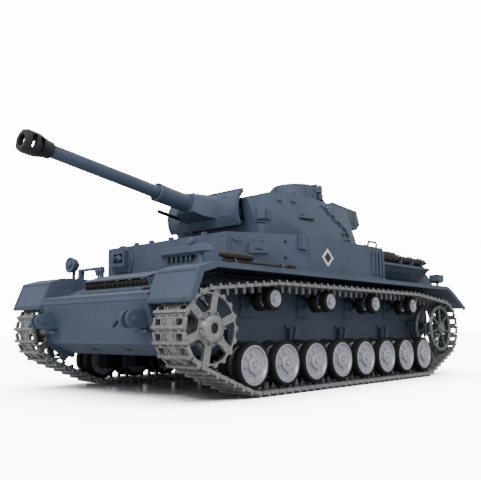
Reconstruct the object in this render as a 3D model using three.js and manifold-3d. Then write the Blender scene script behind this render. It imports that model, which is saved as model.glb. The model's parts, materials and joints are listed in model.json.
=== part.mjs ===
// Radio-controlled scale tank: hull, running gear, turret, gun and the electrics inside it.
// Millimetres. +X is forward, +Y is the tank's left, +Z is up, and z = 0 is the ground.
import * as THREE from 'three';
import { mergeVertices } from 'three/addons/utils/BufferGeometryUtils.js';
import { ConvexGeometry } from 'three/addons/geometries/ConvexGeometry.js';
import Module from 'manifold-3d';

const wasm = await Module();
wasm.setup();

// ---------------------------------------------------------------- driving dimensions
const seatGap = 0.3; // between pieces that rest on each other
const runGap = 0.35; // round a shaft that turns, and beside a piece that slides

// lower hull, a tub open at the top
const hullHalf = 57; // half its outside width
const hullWall = 2.5;
const bellyZ = 24;
const deckZ = 73; // top edge of the tub
const glacisX = 118; // where the glacis meets the deck
const noseReach = 21.8; // front edge of the glacis, ahead of the sprocket's axle
const noseZ = 56.3;
const noseLowReach = 13;
const noseLowZ = 31.1;
const bellyFrontBack = 2.2; // the belly starts this far behind the sprocket's axle
const bellyRearBack = 3.3; // and ends this far behind the idler's
const tailBack = 23.3;
const tailLowZ = 38;

// fenders over the tracks
const fenderHalf = 92.6;
const fenderTop = 76.5;
const fenderSheet = 1.2;
const fenderLip = 2.9;
const fenderFrontCurve = [[-17, 0], [-5, 3.5], [2.2, 21.7]]; // ahead of the sprocket's rim, below the top
const fenderRearCurve = [[-21.75, 0], [-9.05, 5.5], [13.65, 17.7]]; // behind the idler's rim, below the top

// superstructure and engine deck
const frontPlateX = 112;
const frontPlateHalf = 62;
const frontPlateTop = 101.2;
const roofZ = 104.2;
const sideHalf = 79;
const sideFrontX = 44; // the flared front sides reach full width here
const sideRearX = -55;
const shellWall = 2.5;
const engineTop = 100.5;
const engineHalf = 66;
const engineRearX = -140; // the deck falls away behind this
const engineTailZ = 84;
const intakeBulge = 12; // how far the side air intakes stand out
const intakeMidZ = 92;
const intakeTopZ = 98.5;
const intakeLowZ = 81.5;

// running gear
const gearY = 75.5; // centre plane of wheels and track
const wheelsPerSide = 8;
const wheelR = 14.2;
const wheelGap = 3.03; // between the rims of neighbouring wheels
const wheelWidth = 17;
const wheelGroove = 5; // room for the guide horns
const wheelGrooveR = 9;
const stubR = 2;
const rollersPerSide = 4;
const rollerFrontInset = 21.305; // the first roller behind the first wheel
const rollerRearInset = 14.805; // and the last ahead of the last wheel
const rollerZ = 58.6;
const rollerR = 7.5;
const rollerWidth = 15;
const sprocketReach = 38.195; // ahead of the first wheel
const sprocketZ = 40;
const sprocketR = 20.8; // at the tooth roots
const sprocketTeeth = 18;
const toothHeight = 1.6;
const toothPlane = 8.6; // each toothed ring from the centre plane
const ringThick = 2.6;
const windowCount = 6; // openings in each toothed ring
const windowInner = 11;
const windowOuter = 17.5;
const windowTurn = 0.32; // half of one opening's angle
const drumR = 9.5;
const driveShaftR = 3;
const idlerReach = 36.695; // behind the last wheel
const idlerZ = 40.1;
const idlerR = 21.05;
const idlerRim = 3.2;
const idlerPlane = 6.8;
const idlerSpokes = 7;
const idlerHubR = 5.5;

// track
const linkPitch = 7.5;
const trackWidth = 26;
const linkThick = 2;
const spudHeight = 1.5;
const trackGap = 0.6; // between the links' inner face and what they run on

// bogies, each with two stub axles and a sprung vertical travel
const bogieEnd = 5.285; // beyond each stub axle
const bogieDrop = 6.3; // below the axles
const bogieRise = 8.7;
const bogieTravel = 3;
const bogieInner = 58;
const bogieOuter = 66;
const railHalf = 5;
const railDepth = 5;
const railSpare = 1; // of the rail above the bogie at its highest
const bumpOffset = 9.6;
const bumpHalf = 5;
const bumpSpare = 2; // between the bogie at its highest and the bump stop
const bumpHeight = 8;

// turret
const ringX = -4; // turning axis
const ringR = 50;
const ringWall = 4;
const ringFacets = 48;
const turretBase = 105;
const turretRoof = 142.2;
const turretFloor = 2;
const turretWall = 2.4;
const cupolaX = -41.5;
const cupolaR = 22;
const cupolaRise = 20;
const cupolaWall = 4;
const hatchR = 19.8;
const hatchThick = 2.2;
const hingeR = 20.8; // pin of the hatch hinge, from the cupola's axis
const hingeRise = 1.6;
const hatchTurn = THREE.MathUtils.degToRad(127); // where the hinge sits round the cupola

// gun
const trunnionX = 60;
const trunnionZ = 127.2;
const restElevation = THREE.MathUtils.degToRad(8.2);
const trunnionR = 5;
const trunnionHalf = 29;
const earInner = 24.5;
const earThick = 3;
const mantletR = 19.1;
const mantletBack = 4.6; // the centre of the mantlet's curve lies this far behind the trunnion
const mantletLow = 1.1; // and this far below it
const mantletPlate = 2.6;
const mantletHalf = 36.5;
const mantletTurn = THREE.MathUtils.degToRad(44); // the curve's reach above and below its middle
const sleeveR = 6.5;
const sleeveStart = 10.5;
const sleeveEnd = 57.5;
const barrelRootR = 4.6;
const barrelTipR = 4.2;
const spigotR = 3.4;
const spigotStart = 142;
const spigotEnd = 150;
const boreR = 2.3;
const boreDepth = 24;
const brakeR = 7.4;
const brakeCollarR = 5.4;
const brakeEnd = 161.3;
const brakePort = 3.2; // length of each of the two openings through the brake
const brakePorts = [7, 12.6]; // from the brake's rear face
const brakePortHalf = 4.2;
const coaxY = -20;
const coaxDrop = 5.7;
const coaxR = 1.4;
const coaxStart = 7;
const coaxEnd = 38;

// small fittings
const lampX = 134.5;
const lampZ = 88.2;
const lampR = 5.8;
const lampY = 75;
const blackoutX = 146;
const blackoutZ = 86;
const bowGunY = -43;
const bowGunZ = 92;
const bowGunR = 8;
const visorSpan = [9, 36]; // the driver's visor, across the front plate
const visorRise = [88.5, 94.5];
const visorDeep = 2.5;
const mufflerR = 9.5;
const mufflerHalf = 34;
const mufflerZ = 56;

// electrics
const batterySize = [76, 44, 22];
const batteryX = -20;
const doorSize = [84, 48];
const gearboxSize = [34, 22, 25];
const gearboxZ = 33.5; // underside, clear of the sloping nose plate
const boardSize = [62, 70, 1.6];
const boardX = -118;
const boardRise = 6; // on its posts
const switchX = 66;
const switchTravel = 4;
const switchLever = 2; // half its thickness, both ways

// ---------------------------------------------------------------- helpers
const bluegrey = 0x4c5669;
const finish = (color, roughness, metalness) => new THREE.MeshStandardMaterial({ color, roughness, metalness });

// A closed manifold solid from any closed geometry, turned the right way out.
function solid(geometry) {
  const bare = geometry.clone();
  bare.deleteAttribute('normal');
  bare.deleteAttribute('uv');
  const merged = mergeVertices(bare, 1e-4);
  const vertProperties = new Float32Array(merged.attributes.position.array);
  const triVerts = [];
  let volume = 0;
  const corner = (i) => new THREE.Vector3().fromArray(vertProperties, 3 * i);
  for (let t = 0; t < merged.index.count; t += 3) {
    const [a, b, c] = [0, 1, 2].map((k) => merged.index.getX(t + k));
    if (a === b || b === c || c === a) continue;
    triVerts.push(a, b, c);
    volume += corner(a).dot(corner(b).cross(corner(c)));
  }
  if (volume < 0) triVerts.reverse();
  return new wasm.Manifold(new wasm.Mesh({ numProp: 3, vertProperties, triVerts: new Uint32Array(triVerts) }));
}

function surface(body) {
  const mesh = body.getMesh();
  const geometry = new THREE.BufferGeometry();
  geometry.setAttribute('position', new THREE.BufferAttribute(new Float32Array(mesh.vertProperties), 3));
  geometry.setIndex(new THREE.BufferAttribute(new Uint32Array(mesh.triVerts), 1));
  geometry.computeVertexNormals();
  return geometry;
}

const join = (bodies) => bodies.reduce((whole, body) => whole.add(body));
const cut = (body, tools) => tools.reduce((whole, tool) => whole.subtract(tool), body);

function block([x0, x1], [y0, y1], [z0, z1]) {
  const geometry = new THREE.BoxGeometry(x1 - x0, y1 - y0, z1 - z0);
  return solid(geometry.translate((x0 + x1) / 2, (y0 + y1) / 2, (z0 + z1) / 2));
}

const outlineOf = (points) => new THREE.Shape(points.map(([a, b]) => new THREE.Vector2(a, b)));

// An outline of (x, z) points, extruded from y0 to y1.
function prismY(points, y0, y1, holes = []) {
  const shape = outlineOf(points);
  shape.holes = holes.map(outlineOf);
  const geometry = new THREE.ExtrudeGeometry(shape, { depth: y1 - y0, bevelEnabled: false });
  return solid(geometry.rotateX(Math.PI / 2).translate(0, y1, 0));
}

// A profile of (radius, height) points turned about the Y, Z or X axis through a centre.
function turned(profile, segments, axis = 'y', [x, y, z] = [0, 0, 0]) {
  const geometry = new THREE.LatheGeometry(profile.map(([r, h]) => new THREE.Vector2(r, h)), segments);
  if (axis === 'z') geometry.rotateX(Math.PI / 2);
  if (axis === 'x') geometry.rotateZ(-Math.PI / 2);
  return solid(geometry.translate(x, y, z));
}

const rod = (radius, from, to) => [[0, from], [radius, from], [radius, to], [0, to]];
const tube = (outer, inner, from, to) => [
  [inner, from], [outer, from], [outer, to], [inner, to], [inner, from],
];

const hullOf = (points) => solid(new ConvexGeometry(points.map((p) => new THREE.Vector3(...p))));
const mirrored = (points) => [...points, ...points.map(([x, y, z]) => [x, -y, z])];
const sides = { left: 1, right: -1 };

// A range across Y on one side of the tank, lowest value first.
const span = (side, near, far) => (side > 0 ? [near, far] : [-far, -near]);

const tank = new THREE.Group();

function place(name, body, material, parent = tank, position = [0, 0, 0]) {
  const mesh = new THREE.Mesh(surface(body), material);
  mesh.name = name;
  mesh.position.set(...position);
  parent.add(mesh);
  return mesh;
}

// ---------------------------------------------------------------- derived places
const wheelPitch = 2 * wheelR + wheelGap;
const wheelXs = Array.from({ length: wheelsPerSide }, (_, i) => ((wheelsPerSide - 1) / 2 - i) * wheelPitch);
const wheelZ = wheelR + trackGap + linkThick + spudHeight;
const sprocketX = wheelXs[0] + sprocketReach;
const idlerX = wheelXs.at(-1) - idlerReach;
const rollerEnds = [wheelXs[0] - rollerFrontInset, wheelXs.at(-1) + rollerRearInset];
const rollerXs = Array.from({ length: rollersPerSide }, (_, i) => (
  THREE.MathUtils.lerp(...rollerEnds, i / (rollersPerSide - 1))
));
const bogieXs = Array.from({ length: wheelsPerSide / 2 }, (_, i) => (wheelXs[2 * i] + wheelXs[2 * i + 1]) / 2);
const bogieHalf = wheelPitch / 2 + bogieEnd;
const bogieLow = wheelZ - bogieDrop;
const bogieHigh = wheelZ + bogieRise;
const railHigh = bogieHigh + bogieTravel + railSpare;
const bumpLow = bogieHigh + bogieTravel + bumpSpare;
const noseX = sprocketX + noseReach;
const noseLowX = sprocketX + noseLowReach;
const bellyFrontX = sprocketX - bellyFrontBack;
const bellyRearX = idlerX - bellyRearBack;
const tailX = idlerX - tailBack;
const fenderFront = fenderFrontCurve.map(([ahead, fall]) => [sprocketX + sprocketR + ahead, fenderTop - fall]);
const fenderRear = fenderRearCurve.map(([behind, fall]) => [idlerX - idlerR - behind, fenderTop - fall]);
const cupolaTop = turretRoof + cupolaRise;
const shellBase = fenderTop + seatGap;
const glacisFall = (deckZ - noseZ) / (noseX - glacisX);
const glacisAt = (x) => deckZ - glacisFall * (x - glacisX);
const sideRoofRun = [[frontPlateX, frontPlateHalf], [sideFrontX, sideHalf], [sideRearX, sideHalf]];

// ---------------------------------------------------------------- hull
function lowerHull() {
  const outside = [
    [glacisX, deckZ], [noseX, noseZ], [noseLowX, noseLowZ], [bellyFrontX, bellyZ],
    [bellyRearX, bellyZ], [tailX, tailLowZ], [tailX, deckZ],
  ];
  const w = hullWall;
  const over = deckZ + 10;
  const inside = [
    [glacisX, over], [noseX - w, over], [noseX - w, noseZ - w], [noseLowX - w, noseLowZ + w],
    [bellyFrontX - w, bellyZ + w], [bellyRearX + w, bellyZ + w], [tailX + w, tailLowZ + w], [tailX + w, over],
  ];
  let tub = prismY(outside, -hullHalf, hullHalf).subtract(prismY(inside, w - hullHalf, hullHalf - w));
  for (const side of Object.values(sides)) {
    const skin = (reach) => span(side, hullHalf - w / 2, reach);
    const [pin0, pin1] = skin(gearY + rollerWidth / 2 - 3);
    const [stub0, stub1] = skin(gearY + idlerPlane);
    tub = tub.add(turned(rod(idlerHubR - 2, stub0, stub1), 14, 'y', [idlerX, 0, idlerZ]));
    for (const x of rollerXs) tub = tub.add(turned(rod(stubR, pin0, pin1), 10, 'y', [x, 0, rollerZ]));
    for (const x of bogieXs) {
      tub = tub.add(block([x - railHalf, x + railHalf], skin(hullHalf + railDepth), [bogieLow, railHigh]));
      const bump = [x + bumpOffset - bumpHalf, x + bumpOffset + bumpHalf];
      tub = tub.add(block(bump, skin(hullHalf + railDepth - 1), [bumpLow, bumpLow + bumpHeight]));
    }
    const shaftHole = rod(driveShaftR + runGap, ...span(side, hullHalf - 2 * w, hullHalf + w));
    tub = tub.subtract(turned(shaftHole, 24, 'y', [sprocketX, 0, sprocketZ]));
  }
  const [doorX, doorY] = doorSize;
  const slot = switchTravel / 2 + switchLever + runGap;
  const slotHalf = switchLever + runGap;
  const floor = [bellyZ - 1, bellyZ + 2 * w];
  return cut(tub, [
    block([batteryX - doorX / 2, batteryX + doorX / 2], [-doorY / 2, doorY / 2], floor),
    block([switchX - slot, switchX + slot], [-slotHalf, slotHalf], floor),
  ]);
}

// Superstructure, glacis and engine deck in one shell, open underneath.
function upperHull() {
  const shell = (inset) => {
    const roof = sideRoofRun.map(([x, y], i) => {
      const ends = [frontPlateX - inset, sideFrontX, sideRearX + inset];
      return [ends[i], y - inset, (i === 0 ? frontPlateTop : roofZ) - inset];
    });
    const foot = roof.map(([x, y]) => [x, y, shellBase - (inset > 0 ? 2 : 0)]);
    return hullOf(mirrored([...roof, ...foot]));
  };
  const deck = (inset) => {
    const low = shellBase - (inset > 0 ? 2 : 0);
    const top = engineTop - inset;
    const y = engineHalf - inset;
    return hullOf(mirrored([
      [sideRearX + (inset > 0 ? 3 * inset : 0), y, low], [sideRearX + (inset > 0 ? 3 * inset : 0), y, top],
      [engineRearX, y, top], [tailX + inset, y, engineTailZ - inset], [tailX + inset, y, low],
    ]));
  };
  const plate = [
    [glacisX, deckZ + seatGap], [noseX, noseZ + seatGap], [noseX, noseZ + seatGap + shellWall],
    [frontPlateX - shellWall, glacisAt(frontPlateX) + shellWall + seatGap],
    [frontPlateX - shellWall, deckZ + seatGap],
  ];
  const skirt = [
    [tailX, deckZ + seatGap], [glacisX, deckZ + seatGap],
    [frontPlateX, shellBase + 2], [tailX, shellBase + 2],
  ];
  const inner = hullHalf - shellWall;
  const intake = (side) => hullOf([sideRearX - 1.5, engineRearX + 1].flatMap((x) => [
    [x, side * (engineHalf - 2), intakeTopZ], [x, side * (engineHalf + 1), intakeTopZ],
    [x, side * (engineHalf + intakeBulge), intakeMidZ],
    [x, side * (engineHalf + 2), intakeLowZ], [x, side * (engineHalf - 2), intakeLowZ],
  ]));
  let body = join([
    shell(0), deck(0), prismY(plate, -hullHalf, hullHalf), prismY(skirt, -hullHalf, hullHalf),
    intake(1), intake(-1),
  ]);
  body = cut(body, [
    shell(shellWall), deck(shellWall),
    block([tailX + shellWall, frontPlateX - shellWall], [-inner, inner], [deckZ - 1, shellBase + 6]),
    turned(rod(ringR + runGap, roofZ - 2 * shellWall, roofZ + 1), ringFacets, 'z', [ringX, 0, 0]),
  ]);
  const visor = block([frontPlateX - 1, frontPlateX + visorDeep], visorSpan, visorRise);
  const seat = rod(bowGunR + 2, frontPlateX - 1, frontPlateX + 1.5);
  const mouth = rod(bowGunR - 3, frontPlateX - shellWall - 1, frontPlateX + 3);
  return join([body, visor, turned(seat, 24, 'x', [0, bowGunY, bowGunZ])])
    .subtract(turned(mouth, 24, 'x', [0, bowGunY, bowGunZ]));
}

function fender(side) {
  const top = [...[...fenderFront].reverse(), ...fenderRear];
  const under = [...top].reverse().map(([x, z]) => [x - Math.sign(x) * fenderSheet, z - fenderSheet]);
  const sheet = prismY([...top, ...under], ...span(side, hullHalf + seatGap, fenderHalf));
  const edge = span(side, fenderHalf - fenderSheet, fenderHalf);
  const lip = block([fenderRear[0][0], fenderFront[0][0]], edge, [fenderTop - fenderLip, fenderTop]);
  return sheet.add(lip);
}

// ---------------------------------------------------------------- track
// The closed line that a belt takes round circles listed in order, clockwise seen from the left.
function beltLine(circles, grow) {
  const pieces = [];
  const rims = circles.map(([x, z, r]) => ({ c: new THREE.Vector2(x, z), r: r + grow }));
  const tangents = rims.map((a, i) => {
    const b = rims[(i + 1) % rims.length];
    const way = b.c.clone().sub(a.c);
    const lean = Math.asin((a.r - b.r) / way.length());
    const out = way.angle() - Math.PI / 2 + lean;
    const off = new THREE.Vector2(Math.cos(out), Math.sin(out));
    return { from: a.c.clone().addScaledVector(off, a.r), to: b.c.clone().addScaledVector(off, b.r), out };
  });
  tangents.forEach((line, i) => {
    pieces.push({ length: line.from.distanceTo(line.to), at: (s) => line.from.clone().lerp(line.to, s) });
    const rim = rims[(i + 1) % rims.length];
    let sweep = tangents[(i + 1) % rims.length].out - line.out;
    sweep -= 2 * Math.PI * Math.round(sweep / (2 * Math.PI));
    const at = (s) => {
      const turn = line.out + s * sweep;
      return rim.c.clone().add(new THREE.Vector2(Math.cos(turn), Math.sin(turn)).multiplyScalar(rim.r));
    };
    pieces.push({ length: Math.abs(sweep) * rim.r, at });
  });
  const length = pieces.reduce((sum, piece) => sum + piece.length, 0);
  const at = (share) => {
    let left = (((share % 1) + 1) % 1) * length;
    for (const piece of pieces) {
      if (left <= piece.length) return piece.at(left / (piece.length || 1));
      left -= piece.length;
    }
    return pieces[0].at(0);
  };
  return { length, at };
}

const trackRims = [
  [wheelXs.at(-1), wheelZ, wheelR], [wheelXs[0], wheelZ, wheelR], [sprocketX, sprocketZ, sprocketR],
  [rollerXs[0], rollerZ, rollerR], [rollerXs.at(-1), rollerZ, rollerR], [idlerX, idlerZ, idlerR],
];

function track(side) {
  const line = beltLine(trackRims, trackGap);
  const links = Math.round(line.length / linkPitch);
  const lifted = (share, height) => {
    const here = line.at(share);
    const way = line.at(share + 0.0005).sub(line.at(share - 0.0005)).normalize();
    return [here.x + way.y * height, here.y - way.x * height];
  };
  const inner = [];
  const outer = [];
  const spud = linkThick + spudHeight;
  for (let i = 0; i < links; i += 1) {
    inner.push(lifted(i / links, 0));
    const steps = [[0.1, linkThick], [0.3, spud], [0.65, spud]];
    for (const [part, height] of steps) outer.push(lifted((i + part) / links, height));
  }
  const half = trackWidth / 2;
  const belt = prismY(outer, ...span(side, gearY - half, gearY + half), [inner]);
  const clear = (plane) => {
    const [y0, y1] = [plane - ringThick / 2 - runGap, plane + ringThick / 2 + runGap].map((y) => side * y);
    const sweep = rod(sprocketR + toothHeight + runGap, Math.min(y0, y1), Math.max(y0, y1));
    return turned(sweep, 48, 'y', [sprocketX, 0, sprocketZ]);
  };
  return cut(belt, [clear(gearY - toothPlane), clear(gearY + toothPlane)]);
}

// ---------------------------------------------------------------- wheels
// Each wheel is drawn about its own centre with its outer face towards +Y for the left side.
const outward = (profile, side) => profile.map(([r, y]) => [r, side * y]);

function roadWheel(side) {
  const w = wheelWidth / 2;
  const g = wheelGroove / 2;
  const bore = stubR + runGap;
  return turned(outward([
    [0, w - 3], [bore, w - 3], [bore, -w], [wheelR, -w], [wheelR, -g], [wheelGrooveR, -g],
    [wheelGrooveR, g], [wheelR, g], [wheelR, w], [0, w],
  ], side), 14);
}

function returnRoller(side) {
  const w = rollerWidth / 2;
  const bore = stubR + runGap;
  return turned(outward([[0, w - 2], [bore, w - 2], [bore, -w], [rollerR, -w], [rollerR, w], [0, w]], side), 14);
}

function sprocket(side) {
  const tip = sprocketR + toothHeight;
  const step = (2 * Math.PI) / sprocketTeeth;
  const point = (r, turn) => [r * Math.cos(turn), r * Math.sin(turn)];
  const outline = Array.from({ length: sprocketTeeth }, (_, i) => [
    point(sprocketR, (i - 0.3) * step), point(tip, (i - 0.08) * step), point(tip, (i + 0.08) * step),
    point(sprocketR, (i + 0.3) * step),
  ]).flat();
  const windows = Array.from({ length: windowCount }, (_, i) => {
    const mid = (i + 0.5) * ((2 * Math.PI) / windowCount);
    return [[windowInner, -1], [windowOuter, -1], [windowOuter, 1], [windowInner, 1]].map(
      ([r, way]) => point(r, mid + way * windowTurn),
    );
  });
  const ring = (plane) => prismY(outline, side * plane - ringThick / 2, side * plane + ringThick / 2, windows);
  const shaftIn = hullHalf - hullWall - 4 - gearY;
  const core = turned(outward([
    [0, shaftIn], [driveShaftR, shaftIn], [driveShaftR, -toothPlane - 3], [drumR, -toothPlane - 3],
    [drumR, toothPlane], [6.5, toothPlane + 3.5], [0, toothPlane + 3.5],
  ], side), 16);
  const dimple = turned(outward(rod(2.5, toothPlane + 1, toothPlane + 4), side), 12);
  return join([core, ring(toothPlane), ring(-toothPlane)]).subtract(dimple);
}

function idler(side) {
  const bore = idlerHubR - 2 + runGap;
  const half = idlerPlane + idlerRim / 2;
  const hub = turned(outward([
    [0, half + 1.5], [idlerHubR, half + 1.5], [idlerHubR, -half], [bore, -half], [bore, half - 1], [0, half - 1],
  ], side), 14);
  const rims = [-idlerPlane, idlerPlane].map((plane) => {
    const low = plane - idlerRim / 2;
    return turned(tube(idlerR, idlerR - idlerRim, low, low + idlerRim), 24);
  });
  const spokes = Array.from({ length: idlerSpokes }, (_, i) => {
    const bar = (plane) => block([idlerHubR - 1, idlerR - idlerRim / 2], [plane - 1, plane + 1], [-1, 1]);
    return join([bar(-idlerPlane), bar(idlerPlane)]).rotate([0, (i * 360) / idlerSpokes, 0]);
  });
  return join([hub, ...rims, ...spokes]);
}

function bogie(side) {
  const body = block([-bogieHalf, bogieHalf], span(side, bogieInner, bogieOuter), [bogieLow, bogieHigh]);
  const reach = gearY + wheelWidth / 2 - 3 - seatGap;
  const stubs = [-1, 1].map((end) => {
    const [y0, y1] = span(side, bogieOuter - 1, reach);
    return turned(rod(stubR, y0, y1), 10, 'y', [(end * wheelPitch) / 2, 0, wheelZ]);
  });
  const channel = [-railHalf - runGap, railHalf + runGap];
  const groove = span(side, bogieInner - 1, hullHalf + railDepth + runGap);
  return join([body, ...stubs]).subtract(block(channel, groove, [bogieLow - 1, bogieHigh + 1]));
}

// ---------------------------------------------------------------- turret
// Corner points of the turret's left side, drawn in by an inset to give the inner face.
function turretBlock(inset) {
  const low = turretBase;
  const corners = [
    [65, 38, turretRoof - 7.5], [50.5, 47, turretRoof - 3.2], [-3.5, 50, turretRoof - 0.6],
    [-62, 41, turretRoof], [-72, 20, turretRoof],
    [57.5, 41, low], [56, 45, low], [14, 58, low], [-21, 60.4, low], [-70, 48, low], [-78, 24, low],
    [44.9, 50.7, turretRoof - 16.5],
  ];
  return hullOf(mirrored(corners.map(([x, y, z]) => {
    const out = new THREE.Vector2(x - ringX, y);
    const shrink = 1 - (1.15 * inset) / out.length();
    return [ringX + out.x * shrink, out.y * shrink, z > low ? z - inset : z];
  })));
}

function turretShell() {
  const aboutRing = (profile) => turned(profile, ringFacets, 'z', [ringX, 0, 0]);
  const floor = turretBlock(0).intersect(aboutRing(rod(80, turretBase - 1, turretBase + turretFloor)));
  const collar = aboutRing(tube(ringR, ringR - ringWall, roofZ - shellWall - 2, turretBase + 1));
  const ears = Object.values(sides).map((side) => block(
    [trunnionX - 9, trunnionX - 1], span(side, earInner, earInner + earThick),
    [trunnionZ - 9, trunnionZ + 5.5],
  ));
  const webs = Object.values(sides).map((side) => block(
    [trunnionX - 9, trunnionX - 6], span(side, earInner, 49), [trunnionZ - 9, trunnionZ - 2],
  ));
  const shell = turretBlock(0).subtract(turretBlock(turretWall));
  const pivot = rod(trunnionR + runGap, -trunnionHalf - 1, trunnionHalf + 1);
  return cut(join([shell, floor, collar, ...ears, ...webs]), [
    block([trunnionX - 4, trunnionX + 20], [-earInner, earInner], [trunnionZ - 12, trunnionZ + 5.6]),
    block([trunnionX - 1, trunnionX + 20], [-earInner - 8, earInner + 8], [trunnionZ - 12, trunnionZ + 5.6]),
    turned(pivot, 24, 'y', [trunnionX, 0, trunnionZ]),
    aboutRing(rod(ringR - ringWall, turretBase - 10, turretBase + turretFloor + 1)),
    turned(rod(cupolaR - cupolaWall - 1, turretRoof - 12, turretRoof + 8), 32, 'z', [cupolaX, 0, 0]),
  ]);
}

const cupolaFoot = turretRoof + seatGap;

function cupola() {
  const inner = cupolaR - cupolaWall;
  return turned([
    [inner, cupolaFoot], [cupolaR + 1, cupolaFoot], [cupolaR + 1, cupolaFoot + 3], [cupolaR, cupolaFoot + 5],
    [cupolaR, cupolaTop - 1.2], [cupolaR - 0.8, cupolaTop], [inner, cupolaTop], [inner, cupolaFoot],
  ], 28, 'z');
}

function cupolaHatch() {
  const low = cupolaTop + seatGap;
  const disc = turned([
    [0, low], [hatchR, low], [hatchR, low + hatchThick - 0.6], [hatchR - 1, low + hatchThick],
    [0, low + hatchThick],
  ], 24, 'z');
  const arms = [-7, 7].map((y) => block(
    [hatchR - 5, hingeR + 0.5], [y - 2, y + 2], [low, low + 2 * hingeRise],
  ));
  const turn = THREE.MathUtils.radToDeg(hatchTurn);
  return join([disc, ...arms]).rotate([0, 0, turn]);
}

// Stowage box on the turret's rear wall.
function stowageBin() {
  const gap = seatGap + 0.4;
  const box = hullOf(mirrored([
    [-48, 37, 5.3], [-97, 30, 5], [-101, 30.5, -7.2], [-96, 30, -12.6], [-64, 35, -12.6], [-48, 37, 0.8],
  ].map(([x, y, rise]) => [x, y, turretRoof + rise])));
  const seat = turretBlock(-gap).add(block([-64, -40], [-45, 45], [turretRoof - 17, turretRoof + gap]));
  const round = turned(rod(cupolaR + 1 + gap, turretBase, cupolaTop), 36, 'z', [cupolaX, 0, 0]);
  return cut(box, [seat, round]);
}

// ---------------------------------------------------------------- gun, drawn along +X from the trunnion
function mantlet() {
  const arc = (r, from, to) => Array.from({ length: 9 }, (_, i) => {
    const turn = from + ((to - from) * i) / 8;
    return [r * Math.cos(turn) - mantletBack, r * Math.sin(turn) - mantletLow];
  });
  const face = mantletR - mantletBack;
  const shield = prismY([
    ...arc(mantletR, -mantletTurn, mantletTurn), ...arc(mantletR - mantletPlate, mantletTurn, -mantletTurn),
  ], -mantletHalf, mantletHalf);
  const neck = block([0, face - 1], [-13, 13], [-5, 2]);
  const pivot = turned(rod(trunnionR, -trunnionHalf, trunnionHalf), 24);
  const housing = hullOf(mirrored([
    [face - 2, 17, -9], [face - 2, 17, 4.5], [face - 2, 12, 9], [22, 12.5, -9], [22, 12.5, 4], [22, 8.5, 8],
    [29.5, 9, -7.2], [29.5, 9, 3.5], [29.5, 4.5, 7.2],
  ]));
  const bore = turned(rod(sleeveR + seatGap, sleeveStart - seatGap, 40), 32, 'x');
  const coax = turned(rod(coaxR + seatGap, coaxStart, coaxEnd), 16, 'x', [0, coaxY, -coaxDrop]);
  return cut(join([shield, neck, pivot, housing]), [bore, coax]);
}

function gunBarrel() {
  return turned([
    [0, sleeveStart], [sleeveR, sleeveStart], [sleeveR, sleeveEnd - 1], [sleeveR - 0.8, sleeveEnd],
    [barrelRootR, sleeveEnd], [barrelTipR, spigotStart], [spigotR, spigotStart], [spigotR, spigotEnd],
    [boreR, spigotEnd], [boreR, spigotEnd - boreDepth], [0, spigotEnd - boreDepth],
  ], 20, 'x');
}

function muzzleBrake() {
  const rear = spigotStart + seatGap;
  const body = turned([
    [spigotR + seatGap, rear], [brakeCollarR, rear], [brakeCollarR + 0.3, rear + 3.5],
    [brakeR, brakeEnd - 9], [brakeR, brakeEnd - 2], [brakeR - 0.8, brakeEnd], [boreR + 1.5, brakeEnd],
    [spigotR + seatGap, spigotEnd + seatGap], [spigotR + seatGap, rear],
  ], 20, 'x');
  const ports = brakePorts.map((start) => block(
    [rear + start, rear + start + brakePort], [-2 * brakeR, 2 * brakeR], [-brakePortHalf, brakePortHalf],
  ));
  const webs = Object.values(sides).map((side) => block(
    [rear + 6, brakeEnd - 1], [-1, 1], span(side, 3.8, 6.2),
  ));
  return cut(body, ports).add(webs[0]).add(webs[1]);
}

function coaxialGun() {
  return turned([
    [0, coaxStart + seatGap], [coaxR, coaxStart + seatGap], [coaxR, coaxEnd], [0.7, coaxEnd], [0.7, coaxEnd - 3],
    [0, coaxEnd - 3],
  ], 14, 'x');
}

// ---------------------------------------------------------------- fittings
function headlight() {
  const bowl = turned([
    [0, -4.5], [2.5, -4.2], [4.8, -2], [lampR, 1.5], [lampR, 3], [lampR - 1, 3], [0, 2.2],
  ], 24, 'x');
  const base = fenderTop + seatGap - lampZ;
  const stem = turned(rod(1.3, base, -3), 12, 'z', [-1, 0, 0]);
  const foot = turned(rod(3, base, base + 1.2), 16, 'z', [-1, 0, 0]);
  return join([bowl, stem, foot]);
}

function blackoutLamp() {
  const foot = fenderTop + seatGap - blackoutZ;
  const hood = hullOf([
    [-5, -5.5, -1.5], [-5, 5.5, -1.5], [4, -6, -2.4], [4, 6, -2.4],
    [-5, -3.5, 2.2], [-5, 3.5, 2.2], [3, -4, 2.4], [3, 4, 2.4],
  ]);
  const stem = turned(rod(1.6, foot, 0), 12, 'z');
  return join([hood, stem, turned(rod(3, foot, foot + 1.2), 16, 'z')]);
}

// Ball mount and barrel of the gun in the front plate.
function bowGun() {
  const back = frontPlateX - shellWall;
  const stalk = rod(bowGunR - 3 - seatGap, back, frontPlateX + 2);
  const ball = turned([
    [0, frontPlateX + 1.5 + seatGap], [bowGunR, frontPlateX + 1.5 + seatGap],
    [bowGunR - 1.5, frontPlateX + 4.5], [bowGunR - 4.5, frontPlateX + 6.5], [0, frontPlateX + 7],
  ], 24, 'x');
  return join([turned(stalk, 20, 'x'), ball, turned(rod(1.3, frontPlateX + 6, frontPlateX + 9), 12, 'x')]);
}

function muffler() {
  const x = tailX - seatGap - mufflerR;
  const can = turned([
    [0, -mufflerHalf], [mufflerR - 1.5, -mufflerHalf], [mufflerR, 1.5 - mufflerHalf],
    [mufflerR, mufflerHalf - 1.5], [mufflerR - 1.5, mufflerHalf], [0, mufflerHalf],
  ], 24, 'y', [x + 1.5, 0, mufflerZ]);
  const rear = block([tailX - 30, tailX - seatGap], [-50, 50], [20, 80]);
  return can.intersect(rear);
}

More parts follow.
